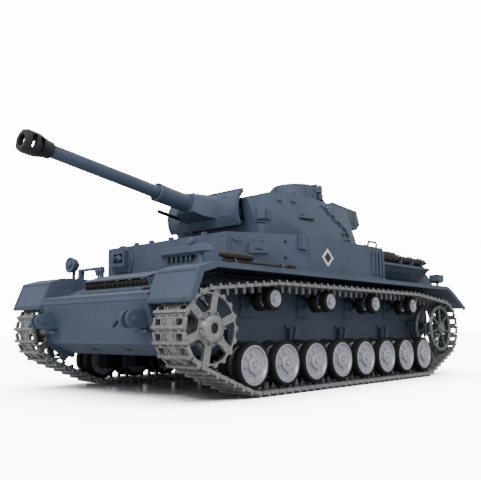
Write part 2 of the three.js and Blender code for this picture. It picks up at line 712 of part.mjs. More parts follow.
// ---------------------------------------------------------------- electrics
const floorZ = bellyZ + hullWall;

function battery() {
  const [x, y, z] = batterySize;
  return block([batteryX - x / 2, batteryX + x / 2], [-y / 2, y / 2], [floorZ + seatGap, floorZ + seatGap + z]);
}

function batteryDoor() {
  const [x, y] = doorSize.map((size) => size / 2 - seatGap);
  return block([batteryX - x, batteryX + x], [-y, y], [bellyZ, floorZ]);
}

function gearbox(side) {
  const [x, y, z] = gearboxSize;
  const near = hullHalf - hullWall - seatGap;
  const base = gearboxZ;
  const middle = sprocketX - 12;
  const socket = rod(driveShaftR + runGap, ...span(side, near - 6, near + 1));
  const motor = rod(9, ...span(side, near - y - 24, near - y + 1));
  return join([
    block([middle - x / 2, middle + x / 2], span(side, near - y, near), [base, base + z]),
    turned(motor, 20, 'y', [middle - 6, 0, base + 11]),
  ]).subtract(turned(socket, 24, 'y', [sprocketX, 0, sprocketZ]));
}

function controlBoard() {
  const [x, y, z] = boardSize;
  const middle = boardX;
  const base = floorZ + seatGap;
  const post = (px, py) => turned(rod(2, base, base + boardRise + 0.5), 10, 'z', [middle + px, py, 0]);
  const chips = [[-18, -16, 14, 10], [6, 12, 18, 14], [-16, 18, 10, 16]].map(([cx, cy, w, d]) => block(
    [middle + cx - w / 2, middle + cx + w / 2], [cy - d / 2, cy + d / 2],
    [base + boardRise + 1, base + boardRise + 5],
  ));
  return join([
    block([middle - x / 2, middle + x / 2], [-y / 2, y / 2], [base + boardRise, base + boardRise + z]),
    ...chips,
    ...[-1, 1].flatMap((sx) => [-1, 1].map((sy) => post(sx * (x / 2 - 4), sy * (y / 2 - 4)))),
  ]);
}

function powerSwitch() {
  const off = switchX - switchTravel / 2;
  const across = [-switchLever, switchLever];
  const lever = block([off - switchLever, off + switchLever], across, [bellyZ - 1.5, floorZ + 2]);
  const plate = block([off - 6, off + 6], [-5, 5], [floorZ + seatGap, floorZ + seatGap + 2]);
  return lever.add(plate);
}

// ---------------------------------------------------------------- assembly
const paint = () => finish(bluegrey, 0.75, 0.05);
const black = () => finish(0x17181b, 0.6, 0.1);
const steel = () => finish(0x8d8f90, 0.45, 0.8);
const plastic = (color) => finish(color, 0.6, 0);

place('lower_hull', lowerHull(), paint());
place('upper_hull', upperHull(), paint());
for (const [name, side] of Object.entries(sides)) {
  const y = side * gearY;
  place(`fender_${name}`, fender(side), paint());
  place(`track_${name}`, track(side), steel());
  place(`sprocket_${name}`, sprocket(side), steel(), tank, [sprocketX, y, sprocketZ]);
  place(`idler_${name}`, idler(side), finish(0x6f7679, 0.5, 0.7), tank, [idlerX, y, idlerZ]);
  wheelXs.forEach((x, i) => {
    place(`road_wheel_${name}_${i + 1}`, roadWheel(side), steel(), tank, [x, y, wheelZ]);
  });
  rollerXs.forEach((x, i) => {
    place(`return_roller_${name}_${i + 1}`, returnRoller(side), steel(), tank, [x, y, rollerZ]);
  });
  bogieXs.forEach((x, i) => place(`bogie_${name}_${i + 1}`, bogie(side), black(), tank, [x, 0, 0]));
  place(`gearbox_${name}`, gearbox(side), plastic(0xb9bcc0));
}

place('turret_shell', turretShell(), paint());
place('cupola', cupola(), paint(), tank, [cupolaX, 0, 0]);
place('cupola_hatch', cupolaHatch(), paint(), tank, [cupolaX, 0, 0]);
place('stowage_bin', stowageBin(), paint());

const gun = new THREE.Group();
gun.position.set(trunnionX, 0, trunnionZ);
gun.rotation.y = -restElevation;
tank.add(gun);
place('mantlet', mantlet(), paint(), gun);
place('gun_barrel', gunBarrel(), paint(), gun);
place('muzzle_brake', muzzleBrake(), black(), gun);
place('coaxial_gun', coaxialGun(), black(), gun, [0, coaxY, -coaxDrop]);

place('headlight', headlight(), paint(), tank, [lampX, -lampY, lampZ]);
place('blackout_lamp', blackoutLamp(), paint(), tank, [blackoutX, lampY, blackoutZ]);
place('bow_gun', bowGun(), paint(), tank, [0, bowGunY, bowGunZ]);
place('muffler', muffler(), paint());

place('battery_pack', battery(), plastic(0x3f6fae));
place('battery_door', batteryDoor(), black());
place('control_board', controlBoard(), plastic(0x1f6b45));
place('power_switch', powerSwitch(), black());

// The origin is the middle of the whole tank's footprint, on the ground.
const extent = new THREE.Box3().setFromObject(tank);
const rig = new THREE.Group();
rig.add(tank);
tank.position.set(-(extent.min.x + extent.max.x) / 2, 0, -extent.min.z);

export default rig;
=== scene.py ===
import json
import math

import bmesh
import bpy
from mathutils import Matrix, Vector
from mathutils.bvhtree import BVHTree

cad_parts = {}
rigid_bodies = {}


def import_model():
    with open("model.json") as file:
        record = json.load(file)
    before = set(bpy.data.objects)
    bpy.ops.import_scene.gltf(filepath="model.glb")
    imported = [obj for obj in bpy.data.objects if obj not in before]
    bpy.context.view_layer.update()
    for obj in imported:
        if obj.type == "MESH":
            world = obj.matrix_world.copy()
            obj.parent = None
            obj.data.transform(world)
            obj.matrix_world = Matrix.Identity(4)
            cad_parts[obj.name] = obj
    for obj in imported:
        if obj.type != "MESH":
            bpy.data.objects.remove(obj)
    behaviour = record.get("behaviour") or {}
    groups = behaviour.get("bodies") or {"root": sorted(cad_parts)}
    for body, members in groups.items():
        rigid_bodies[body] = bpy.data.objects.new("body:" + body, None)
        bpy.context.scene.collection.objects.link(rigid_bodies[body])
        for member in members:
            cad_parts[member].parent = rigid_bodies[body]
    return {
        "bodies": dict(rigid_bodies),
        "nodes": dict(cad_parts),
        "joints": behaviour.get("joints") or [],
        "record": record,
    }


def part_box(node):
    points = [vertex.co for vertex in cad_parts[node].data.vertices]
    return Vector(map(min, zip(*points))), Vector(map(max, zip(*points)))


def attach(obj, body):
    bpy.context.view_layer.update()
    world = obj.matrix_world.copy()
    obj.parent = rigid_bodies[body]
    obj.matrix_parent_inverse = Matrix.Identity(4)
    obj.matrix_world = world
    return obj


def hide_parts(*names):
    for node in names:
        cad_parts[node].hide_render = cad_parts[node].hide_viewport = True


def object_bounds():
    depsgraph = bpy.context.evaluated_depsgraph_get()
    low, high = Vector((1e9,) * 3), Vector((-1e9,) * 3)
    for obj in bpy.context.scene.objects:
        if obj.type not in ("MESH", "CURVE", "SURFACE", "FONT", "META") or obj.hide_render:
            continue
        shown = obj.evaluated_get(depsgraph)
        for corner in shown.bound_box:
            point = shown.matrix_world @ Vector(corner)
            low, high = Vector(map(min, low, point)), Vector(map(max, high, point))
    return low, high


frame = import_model()
cad_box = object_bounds()

# Shapes are drawn in millimetres in the tank's own frame: X = 0 midway between the road wheels,
# +X forward, +Y to the tank's left, Z = 0 on the ground.
MM = 0.001
SIDES = {"left": 1, "right": -1}
WHEELS = range(1, 9)
FOURS = range(1, 5)


def box_of(node):
    """A CAD node's lowest and highest corners, in millimetres, in the tank's own frame."""
    low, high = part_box(node)
    return (low - ORIGIN) / MM, (high - ORIGIN) / MM


def middle_x(nodes):
    return sum(sum((c.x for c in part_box(n)), 0.0) / 2 for n in nodes) / len(nodes)


ORIGIN = Vector((middle_x([f"road_wheel_left_{i}" for i in WHEELS]), 0, 0))


# ------------------------------------------------------------------ materials
def srgb(r, g, b):
    def linear(c):
        c /= 255
        return c / 12.92 if c < 0.04045 else ((c + 0.055) / 1.055) ** 2.4

    return (linear(r), linear(g), linear(b), 1)


class Shader:
    """A Principled material with helpers for layered noise."""

    def __init__(self, name, roughness, metallic=0.0, specular=0.5):
        self.material = bpy.data.materials.new(name)
        self.material.use_nodes = True
        self.tree = self.material.node_tree
        self.base = self.tree.nodes["Principled BSDF"]
        self.base.inputs["Metallic"].default_value = metallic
        self.base.inputs["Roughness"].default_value = roughness
        self.base.inputs["Specular IOR Level"].default_value = specular
        self.coords = self.node("ShaderNodeTexCoord").outputs["Object"]

    def node(self, kind, **values):
        made = self.tree.nodes.new(kind)
        for key, value in values.items():
            if hasattr(made, key):
                setattr(made, key, value)
            else:
                made.inputs[key.replace("_", " ")].default_value = value
        return made

    def link(self, out, into):
        self.tree.links.new(out, into)

    def noise(self, size_mm, detail=3.0, rough=0.6, stretch=(1, 1, 1)):
        mapping = self.node("ShaderNodeMapping")
        mapping.inputs["Scale"].default_value = [s / (size_mm * MM) for s in stretch]
        texture = self.node("ShaderNodeTexNoise", Scale=1.0, Detail=detail, Roughness=rough)
        self.link(self.coords, mapping.inputs["Vector"])
        self.link(mapping.outputs["Vector"], texture.inputs["Vector"])
        return texture.outputs["Fac"]

    def ramp(self, value, low, high, start=0.35, end=0.65):
        ramp = self.node("ShaderNodeValToRGB")
        ramp.color_ramp.elements[0].position = start
        ramp.color_ramp.elements[1].position = end
        ramp.color_ramp.elements[0].color = low
        ramp.color_ramp.elements[1].color = high
        self.link(value, ramp.inputs["Fac"])
        return ramp.outputs["Color"]

    def mix(self, factor, a, b, blend="MIX"):
        mix = self.node("ShaderNodeMix", data_type="RGBA", blend_type=blend)
        for socket, value in ((mix.inputs["Factor"], factor), (mix.inputs["A"], a), (mix.inputs["B"], b)):
            if isinstance(value, (int, float, tuple)):
                socket.default_value = value
            else:
                self.link(value, socket)
        return mix.outputs["Result"]

    def colour(self, out):
        self.link(out, self.base.inputs["Base Color"])

    def roughness(self, value, low, high):
        spread = self.node("ShaderNodeMapRange")
        spread.inputs["To Min"].default_value = low
        spread.inputs["To Max"].default_value = high
        self.link(value, spread.inputs["Value"])
        self.link(spread.outputs["Result"], self.base.inputs["Roughness"])

    def bump(self, value, height_mm, strength=0.5):
        bump = self.node("ShaderNodeBump", Strength=strength, Distance=height_mm * MM)
        self.link(value, bump.inputs["Height"])
        self.link(bump.outputs["Normal"], self.base.inputs["Normal"])


def up_facing(shader, low=0.2, high=0.9):
    """1 on faces that look up, 0 on walls and undersides."""
    geometry = shader.node("ShaderNodeNewGeometry")
    parts = shader.node("ShaderNodeSeparateXYZ")
    shader.link(geometry.outputs["Normal"], parts.inputs["Vector"])
    spread = shader.node("ShaderNodeMapRange")
    spread.inputs["From Min"].default_value = low
    spread.inputs["From Max"].default_value = high
    shader.link(parts.outputs["Z"], spread.inputs["Value"])
    return spread.outputs["Result"]


def painted(name, dark, light, dust, roughness=0.56):
    """Matt sprayed paint: cloudy tone, a fine grain, and a little dust on what faces up."""
    s = Shader(name, roughness, specular=0.35)
    cloud = s.ramp(s.noise(34, 4), dark, light)
    dusted = s.mix(s.noise(9, 5, 0.7), cloud, dust)
    facing = s.node("ShaderNodeMath", operation="MULTIPLY")
    s.link(up_facing(s), facing.inputs[0])
    facing.inputs[1].default_value = 0.3
    s.colour(s.mix(facing.outputs["Value"], cloud, dusted))
    s.roughness(s.noise(6, 4), roughness - 0.07, roughness + 0.1)
    s.bump(s.noise(0.55, 2), 0.05, 0.35)
    return s.material


def metal(name, dark, light, roughness, metallic, grain_mm=2.2, bump_mm=0.06):
    """Cast or turned metal: mottled tone and a granular face."""
    s = Shader(name, roughness, metallic=metallic)
    mottled = s.ramp(s.noise(grain_mm, 5, 0.7), dark, light, 0.3, 0.7)
    s.colour(mottled)
    s.roughness(s.noise(1.4, 4), roughness - 0.1, roughness + 0.12)
    s.bump(s.noise(0.6, 3), bump_mm, 0.5)
    return s.material


def rubber(name, dark, light):
    s = Shader(name, 0.72, specular=0.3)
    s.colour(s.ramp(s.noise(3, 5, 0.7), dark, light))
    s.roughness(s.noise(2, 3), 0.6, 0.85)
    s.bump(s.noise(0.4, 2), 0.04, 0.5)
    return s.material


def wrapped(name, dark, light, roughness=0.35):
    s = Shader(name, roughness)
    s.colour(s.ramp(s.noise(12, 2), dark, light))
    s.roughness(s.noise(5, 2), roughness - 0.08, roughness + 0.08)
    s.bump(s.noise(1.5, 2), 0.04, 0.3)
    return s.material


PAINT = painted("blue_grey_paint", srgb(63, 73, 90), srgb(71, 82, 100), srgb(90, 100, 115))
# BLACK is the real black of the muzzle brake, the coaxial gun and the marking's centre, and also painted
# shade in the sprocket bores and the screw slots.
BLACK = painted("black_paint_and_shade", srgb(24, 25, 27), srgb(33, 34, 37), srgb(50, 50, 50), 0.45)
# DARK is the real black of the bogies, battery door and switch, and also painted shade in slits, ports,
# holes, slots and louvre gaps.
DARK = painted("black_moulding_and_shade", srgb(19, 20, 22), srgb(27, 28, 30), srgb(44, 44, 44), 0.6)
BROWN = painted("dark_brown_paint", srgb(27, 25, 24), srgb(38, 34, 32), srgb(48, 44, 41), 0.6)
WHITE = painted("white_mark", srgb(205, 208, 212), srgb(226, 228, 230), srgb(230, 230, 230), 0.5)
ZINC = metal("cast_zinc", srgb(112, 113, 115), srgb(160, 161, 163), 0.44, 0.75)
IRON = metal("grey_rim", srgb(88, 93, 95), srgb(122, 127, 129), 0.46, 0.6)
SILVER = metal("silver_wheel", srgb(150, 152, 160), srgb(186, 188, 197), 0.4, 0.7, 1.6, 0.05)
TYRE = rubber("tyre_rubber", srgb(14, 14, 16), srgb(25, 25, 27))


# ------------------------------------------------------------------ shapes
class Shape:
    """Closed solids gathered in one mesh, in millimetres."""

    def __init__(self):
        self.bm = bmesh.new()

    def faces(self, points, faces, matrix=None):
        verts = [self.bm.verts.new(matrix @ Vector(p) if matrix else p) for p in points]
        for face in faces:
            self.bm.faces.new([verts[i] for i in face])
        return self

    def box(self, x, y, z, matrix=None):
        points = [(a, b, c) for a in x for b in y for c in z]
        sides = [(0, 1, 3, 2), (4, 6, 7, 5), (0, 4, 5, 1), (2, 3, 7, 6), (0, 2, 6, 4), (1, 5, 7, 3)]
        return self.faces(points, sides, matrix)

    def hull(self, points, matrix=None):
        verts = [self.bm.verts.new(matrix @ Vector(p) if matrix else p) for p in points]
        made = bmesh.ops.convex_hull(self.bm, input=verts, use_existing_faces=False)
        loose = [v for v in made["geom_interior"] if isinstance(v, bmesh.types.BMVert)]
        bmesh.ops.delete(self.bm, geom=loose, context="VERTS")
        return self

    def prism(self, outline, low, high, axis="y", matrix=None):
        """An outline of pairs, extruded along an axis. The pairs are (x, z), (x, y) or (y, z)."""
        order = {"y": lambda a, b, c: (a, c, b), "z": lambda a, b, c: (a, b, c), "x": lambda a, b,
            c: (c, a, b)}
        put = order[axis]
        count = len(outline)
        points = [put(a, b, low) for a, b in outline] + [put(a, b, high) for a, b in outline]
        around = [(i, (i + 1) % count, (i + 1) % count + count, i + count) for i in range(count)]
        return self.faces(points, [range(count), range(count, 2 * count)] + around, matrix)

    def turn(self, profile, steps=24, axis="y", centre=(0, 0, 0), matrix=None):
        """A closed profile of (radius, height) pairs turned about an axis through a centre."""
        order = {"y": lambda a, b, h: (a, h, b), "z": lambda a, b, h: (a, b, h), "x": lambda a, b,
            h: (h, a, b)}
        put = order[axis]
        rings = []
        for radius, height in profile:
            count = 1 if radius < 1e-6 else steps
            ring = []
            for k in range(count):
                angle = math.tau * k / steps
                point = Vector(put(radius * math.cos(angle), radius * math.sin(angle),
                    height)) + Vector(centre)
                ring.append(self.bm.verts.new(matrix @ point if matrix else point))
            rings.append(ring)
        pairs = list(zip(rings, rings[1:]))
        if profile[0][0] > 1e-6:
            pairs.append((rings[-1], rings[0]))
        for a, b in pairs:
            for k in range(steps):
                n = (k + 1) % steps
                if len(a) == 1 and len(b) > 1:
                    self.bm.faces.new((a[0], b[k], b[n]))
                elif len(b) == 1 and len(a) > 1:
                    self.bm.faces.new((a[k], a[n], b[0]))
                elif len(a) > 1:
                    self.bm.faces.new((a[k], a[n], b[n], b[k]))
        return self

    def rod(self, radius, low, high, axis="y", centre=(0, 0, 0), steps=16, edge=0.0, matrix=None):
        cut = edge or min(radius * 0.12, 0.3)
        profile = [
            (0, low), (radius - cut, low), (radius, low + cut), (radius, high - cut),
            (radius - cut, high), (0, high),
        ]
        return self.turn(profile, steps, axis, centre, matrix)

    def wire(self, path, radius, sides=8, matrix=None):
        """A round bar along a path of points."""
        points = [Vector(p) for p in path]
        rings = []
        for i, point in enumerate(points):
            before, after = points[max(i - 1, 0)], points[min(i + 1, len(points) - 1)]
            way = (after - before).normalized()
            side = way.cross(Vector((0, 0, 1)) if abs(way.z) < 0.9 else Vector((1, 0, 0))).normalized()
            up = way.cross(side)
            ring = []
            for k in range(sides):
                angle = math.tau * k / sides
                spot = point + radius * (math.cos(angle) * side + math.sin(angle) * up)
                ring.append(self.bm.verts.new(matrix @ spot if matrix else spot))
            rings.append(ring)
        for a, b in zip(rings, rings[1:]):
            for k in range(sides):
                n = (k + 1) % sides
                self.bm.faces.new((a[k], a[n], b[n], b[k]))
        self.bm.faces.new(rings[0])
        self.bm.faces.new(rings[-1])
        return self

    def add(self, other, matrix):
        """Adds a copy of another shape's solids."""
        mesh = bpy.data.meshes.new("part")
        other.bm.to_mesh(mesh)
        mesh.transform(matrix)
        self.bm.from_mesh(mesh)
        bpy.data.meshes.remove(mesh)
        return self

    def cad(self, node):
        """A copy of a CAD node's faces, with flat ones merged."""
        start = len(self.bm.verts)
        mesh = frame["nodes"][node].data.copy()
        mesh.transform(Matrix.Scale(1 / MM, 4) @ Matrix.Translation(-ORIGIN))
        self.bm.from_mesh(mesh)
        bpy.data.meshes.remove(mesh)
        self.bm.verts.ensure_lookup_table()
        verts = self.bm.verts[start:]
        bmesh.ops.remove_doubles(self.bm, verts=verts, dist=0.002)
        bmesh.ops.dissolve_limit(
            self.bm, angle_limit=math.radians(2), verts=list(self.bm.verts), edges=list(self.bm.edges),
            delimit={"NORMAL"},
        )
        return self


def plate_with_holes(outline, holes, low, high, edge=0.15):
    """A flat plate in the XZ plane between two Y values, with holes and slightly eased edges."""
    curve = bpy.data.curves.new("plate", "CURVE")
    curve.dimensions = "2D"
    curve.fill_mode = "BOTH"
    curve.extrude = (high - low) / 2 - edge
    curve.bevel_depth = edge
    curve.bevel_resolution = 0
    curve.offset = -edge
    for ring in [outline, *holes]:
        spline = curve.splines.new("POLY")
        spline.points.add(len(ring) - 1)
        for point, (u, v) in zip(spline.points, ring):
            point.co = (u, v, 0, 1)
        spline.use_cyclic_u = True
    holder = bpy.data.objects.new("plate", curve)
    mesh = bpy.data.meshes.new_from_object(holder)
    shape = Shape()
    shape.bm.from_mesh(mesh)
    bmesh.ops.remove_doubles(shape.bm, verts=list(shape.bm.verts), dist=0.0005)
    bpy.data.objects.remove(holder)
    bpy.data.curves.remove(curve)
    bpy.data.meshes.remove(mesh)
    turn = Matrix.Translation((0, (low + high) / 2, 0)) @ Matrix.Rotation(math.radians(90), 4, "X")
    bmesh.ops.transform(shape.bm, matrix=turn, verts=list(shape.bm.verts))
    return shape


def piece(name, shape, material, body, replaces=(), ease=0.0, angle=32, steps=2):
    """Makes a piece from a shape, eases its sharp edges, and lets it ride on a body."""
    bmesh.ops.recalc_face_normals(shape.bm, faces=list(shape.bm.faces))
    mesh = bpy.data.meshes.new(name)
    shape.bm.to_mesh(mesh)
    shape.bm.free()
    mesh.transform(Matrix.Translation(ORIGIN) @ Matrix.Scale(MM, 4))
    mesh.materials.append(material)
    mesh.shade_smooth()
    mesh.set_sharp_from_angle(angle=math.radians(angle))
    made = bpy.data.objects.new(name, mesh)
    bpy.context.scene.collection.objects.link(made)
    if ease:
        soften = made.modifiers.new("eased edges", "BEVEL")
        soften.width = ease * MM
        soften.segments = steps
        soften.limit_method = "ANGLE"
        soften.angle_limit = math.radians(angle)
        soften.harden_normals = True
    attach(made, body)
    if replaces:
        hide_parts(*replaces)
    return made


def move(x=0.0, y=0.0, z=0.0):
    return Matrix.Translation((x, y, z))


def spin(angle, axis):
    return Matrix.Rotation(angle, 4, axis)


def span(side, near, far):
    """Two distances from the middle plane as Y values on one side, lowest first."""
    return sorted((side * near, side * far))


def circle(count, radius, start=0.0):
    """Points spaced evenly round a circle, as pairs."""
    turns = [start + math.tau * k / count for k in range(count)]
    return [(radius * math.cos(turn), radius * math.sin(turn)) for turn in turns]


def disc_of(node):
    """A round CAD node's centre and radius in the XZ plane, and its middle Y."""
    low, high = box_of(node)
    return (low + high) / 2, (high.z - low.z) / 2


# ------------------------------------------------------------------ tracks
TRACK_Y = 75.5  # middle of a track and of its sprocket and idler
TOOTH_HEIGHT = 1.6
TOOTH_PLANE = 8.6  # from the middle of the sprocket to each toothed ring
TEETH = 18
WINDOWS = 6
LINK_PITCH = 7.5  # about; the belt's length sets the exact pitch
LINK_HALF = 13.0
TRACK_GAP = 0.6
TYRE_WIDTH = 6.2
ROLLER_TYRE_WIDTH = 5.6


def belt(circles, grow):
    """The length of a belt round circles, and its place and outward normal at a distance along it."""
    rims = [(Vector((x, z)), r + grow) for x, z, r in circles]
    lines = []
    for (a, ra), (b, rb) in zip(rims, rims[1:] + rims[:1]):
        way = b - a
        out = math.atan2(way.y, way.x) - math.pi / 2 + math.asin((ra - rb) / way.length)
        normal = Vector((math.cos(out), math.sin(out)))
        lines.append((a + ra * normal, b + rb * normal, out))
    stretches = []
    for i, (start, end, out) in enumerate(lines):
        stretches.append(((end - start).length, start, end, out, None))
        centre, radius = rims[(i + 1) % len(rims)]
        sweep = (lines[(i + 1) % len(lines)][2] - out + math.pi) % math.tau - math.pi
        stretches.append((abs(sweep) * radius, centre, radius, out, sweep))
    total = sum(s[0] for s in stretches)

    def at(distance):
        left = distance % total
        for length, a, b, out, sweep in stretches:
            if left <= length:
                share = left / length if length else 0
                angle = out + (sweep or 0) * share
                normal = Vector((math.cos(angle), math.sin(angle)))
                here = a + b * normal if sweep is not None else a.lerp(b, share)
                return here, normal
            left -= length
        return at(0)

    return total, at


def track_link(pitch):
    """One link: u forward along X, outward along Z, its inner face at z = 0."""
    half = LINK_HALF
    link = Shape()
    link.box((0.2, 2.0), (-half, half), (0.6, 3.5))  # outer bar
    link.box((0.0, 1.6), (-half + 0.4, half - 0.4), (0.3, 1.7))
    link.box((5.6, pitch - 0.5), (-half + 1.4, half - 1.4), (0.3, 1.8))  # rear strip
    link.box((1.4, 5.8), (-6.0, 6.0), (0.4, 1.7))  # middle plate between the tooth windows
    for side in (1, -1):
        link.box((1.2, pitch - 0.9), span(side, 11.2, half - 0.1), (0.1, 2.3))  # end cheek
        for near, far, top in ((3.2, 4.2, 2.5), (5.2, 6.1, 2.6)):
            link.box((1.8, 6.3), span(side, near, far), (1.5, top))  # rib
        for near, far in ((7.4, 9.8), (1.2, 3.0)):
            link.box((6.2, pitch + 0.5), span(side, near, far), (0.1, 1.9))  # hinge knuckle
    horn = [(2.4, 0.6), (5.2, 0.6), (4.8, -3.2), (4.3, -3.8), (3.3, -3.8), (2.8, -3.2)]
    link.prism(horn, -1.1, 1.1)
    bmesh.ops.recalc_face_normals(link.bm, faces=list(link.bm.faces))
    bmesh.ops.bevel(
        link.bm, geom=list(link.bm.edges), offset=0.16, segments=1, affect="EDGES", clamp_overlap=True,
    )
    link.rod(0.85, -half + 0.2, half - 0.2, "y", (0.2, 0, 1.0), 8)
    return link


def make_track(side_name):
    side = SIDES[side_name]
    circles = []
    for node in (f"road_wheel_{side_name}_8", f"road_wheel_{side_name}_1"):
        centre, radius = disc_of(node)
        circles.append((centre.x, centre.z, radius))
    centre, radius = disc_of(f"sprocket_{side_name}")
    circles.append((centre.x, centre.z, radius - TOOTH_HEIGHT))
    for node in (f"return_roller_{side_name}_1", f"return_roller_{side_name}_4", f"idler_{side_name}"):
        centre, radius = disc_of(node)
        circles.append((centre.x, centre.z, radius))
    total, at = belt(circles, TRACK_GAP)
    links = round(total / LINK_PITCH)
    pitch = total / links
    link = track_link(pitch)
    low, high = box_of(f"track_{side_name}")
    middle = (low.y + high.y) / 2
    track = Shape()
    for i in range(links):
        a, _ = at(i * pitch)
        b, _ = at((i + 1) * pitch)
        _, normal = at((i + 0.5) * pitch)
        way = (b - a).normalized()
        out = Vector((way.y, -way.x))
        if out.dot(normal) < 0:
            out = -out
        columns = (Vector((way.x, 0, way.y)), Vector((0, side, 0)), Vector((out.x, 0, out.y)))
        matrix = Matrix(columns).transposed().to_4x4()
        matrix.translation = (a.x, middle, a.y)
        track.add(link, matrix)
    link.bm.free()
    piece(f"track_links_{side_name}", track, ZINC, "hull", [f"track_{side_name}"])


# ------------------------------------------------------------------ wheels
def outward(profile, side):
    return [(r, side * h) for r, h in profile]


def make_road_wheel(side_name, number):
    side = SIDES[side_name]
    node = f"road_wheel_{side_name}_{number}"
    centre, radius = disc_of(node)
    rim = radius - 2.1
    place = move(*centre)
    tyres = Shape()
    for low in (2.3, -8.5):
        high = low + TYRE_WIDTH
        tyres.turn(outward([
            (rim - 0.6, low), (radius - 1.2, low), (radius - 0.3, low + 0.5), (radius, low + 1.4),
            (radius, high - 1.4), (radius - 0.3, high - 0.5), (radius - 1.2, high),
            (rim - 0.6, high - 0.3),
        ], side), 40, matrix=place)
    piece(f"tyres_{side_name}_{number}", tyres, TYRE, node, [node])
    disc = Shape()
    disc.turn(outward([
        (0, -7.8), (rim, -7.8), (rim, -2.9), (8.2, -2.2), (8.2, 1.8), (rim, 2.6), (rim, 8.1),
        (rim - 0.35, 8.5), (rim - 1.1, 8.5), (rim - 1.5, 8.0), (rim - 1.9, 7.2), (8.6, 6.6), (6.2, 6.8),
        (5.3, 7.1), (5.2, 8.6), (4.8, 9.0), (3.2, 9.1), (2.9, 8.7), (1.7, 8.6), (1.5, 9.5), (1.1, 9.8),
        (0, 9.8),
    ], side), 40, matrix=place)
    for k in range(8):
        around = place @ spin(math.tau * (k + 0.3) / 8, "Y")
        disc.box((5.1, 7.4), span(side, 6.3, 7.5), (-0.32, 0.32), around)
        disc.rod(0.42, *span(side, 6.2, 7.2), steps=6, matrix=around @ move(8.7, 0, 0))
    piece(f"wheel_disc_{side_name}_{number}", disc, SILVER, node, angle=26)


def make_roller(side_name, number):
    side = SIDES[side_name]
    node = f"return_roller_{side_name}_{number}"
    centre, radius = disc_of(node)
    place = move(*centre)
    tyres = Shape()
    for low in (1.9, -7.5):
        high = low + ROLLER_TYRE_WIDTH
        tyres.turn(outward([
            (4.2, low), (radius - 0.8, low), (radius, low + 0.8), (radius, high - 0.8),
            (radius - 0.8, high), (5.2, high),
        ], side), 32, matrix=place)
    piece(f"roller_tyres_{side_name}_{number}", tyres, TYRE, node, [node])
    cap = Shape()
    cap.turn(outward([
        (0, -6.5), (4.6, -6.5), (4.6, -2.2), (2.6, -1.6), (2.6, 1.6), (4.6, 2.2), (5.4, 7.3),
        (5.3, 7.8), (4.7, 7.9), (4.2, 7.3), (2.6, 6.9), (2.1, 7.1), (2.0, 8.3), (1.6, 8.6), (0, 8.6),
    ], side), 32, matrix=place)
    for k in range(6):
        around = place @ spin(math.tau * k / 6, "Y")
        cap.rod(0.3, *span(side, 6.8, 7.5), steps=6, matrix=around @ move(3.4, 0, 0))
    piece(f"roller_cap_{side_name}_{number}", cap, SILVER, node, angle=26)


def make_sprocket(side_name):
    side = SIDES[side_name]
    node = f"sprocket_{side_name}"
    centre, tip = disc_of(node)
    root = tip - TOOTH_HEIGHT
    tooth = [(-0.5, root - 0.4), (-0.27, root + 0.1), (-0.12, tip - 0.1), (0.12, tip - 0.1),
        (0.27, root + 0.1)]
    outline = []
    for i in range(TEETH):
        for share, radius in tooth:
            angle = math.tau * (i + share) / TEETH
            outline.append((radius * math.cos(angle), radius * math.sin(angle)))
    edge = [
        (19.2, 0.34), (19.3, 0.17), (19.3, 0), (19.3, -0.17), (19.2, -0.34), (18.7, -0.39),
        (10.9, -0.3), (10.1, -0.16), (9.9, 0), (10.1, 0.16), (10.9, 0.3), (18.7, 0.39),
    ]
    windows = []
    for k in range(WINDOWS):
        middle = math.tau * (k + 0.18) / WINDOWS
        windows.append([(r * math.cos(middle + a), r * math.sin(middle + a)) for r, a in edge])
    wheel = Shape()
    place = move(centre.x, side * TRACK_Y, centre.z)
    for plane in (TOOTH_PLANE, -TOOTH_PLANE):
        ring = plate_with_holes(outline, windows, plane - 1.3, plane + 1.3, 0.25)
        wheel.add(ring, place @ (spin(math.pi, "Z") if side < 0 else Matrix()))
        ring.bm.free()
    wheel.turn(outward([
        (0, -13.0), (3.2, -13.0), (3.2, -9.6), (8.6, -9.6), (8.2, -5), (8.2, 7.6), (9.4, 9.8),
        (9.1, 10.6), (8.4, 11.0), (7.9, 12.2), (7.2, 12.8), (4.6, 13.4), (3.6, 13.3), (2.9, 12.8),
        (2.8, 8.2), (0, 8.2),
    ], side), 40, matrix=place)
    for k in range(10):
        around = place @ spin(math.tau * k / 10, "Y")
        wheel.rod(0.75, *span(side, 10.2, 12.6), steps=6, matrix=around @ move(8.5, 0, 0))
    piece(f"sprocket_wheel_{side_name}", wheel, ZINC, node, [node], angle=28)
    # A black plug at the bottom of the hub's bore: painted shade in the bore.
    bore = Shape().rod(2.75, *span(side, 8.0, 11.6), matrix=place)
    piece(f"sprocket_bore_shade_{side_name}", bore, BLACK, node)


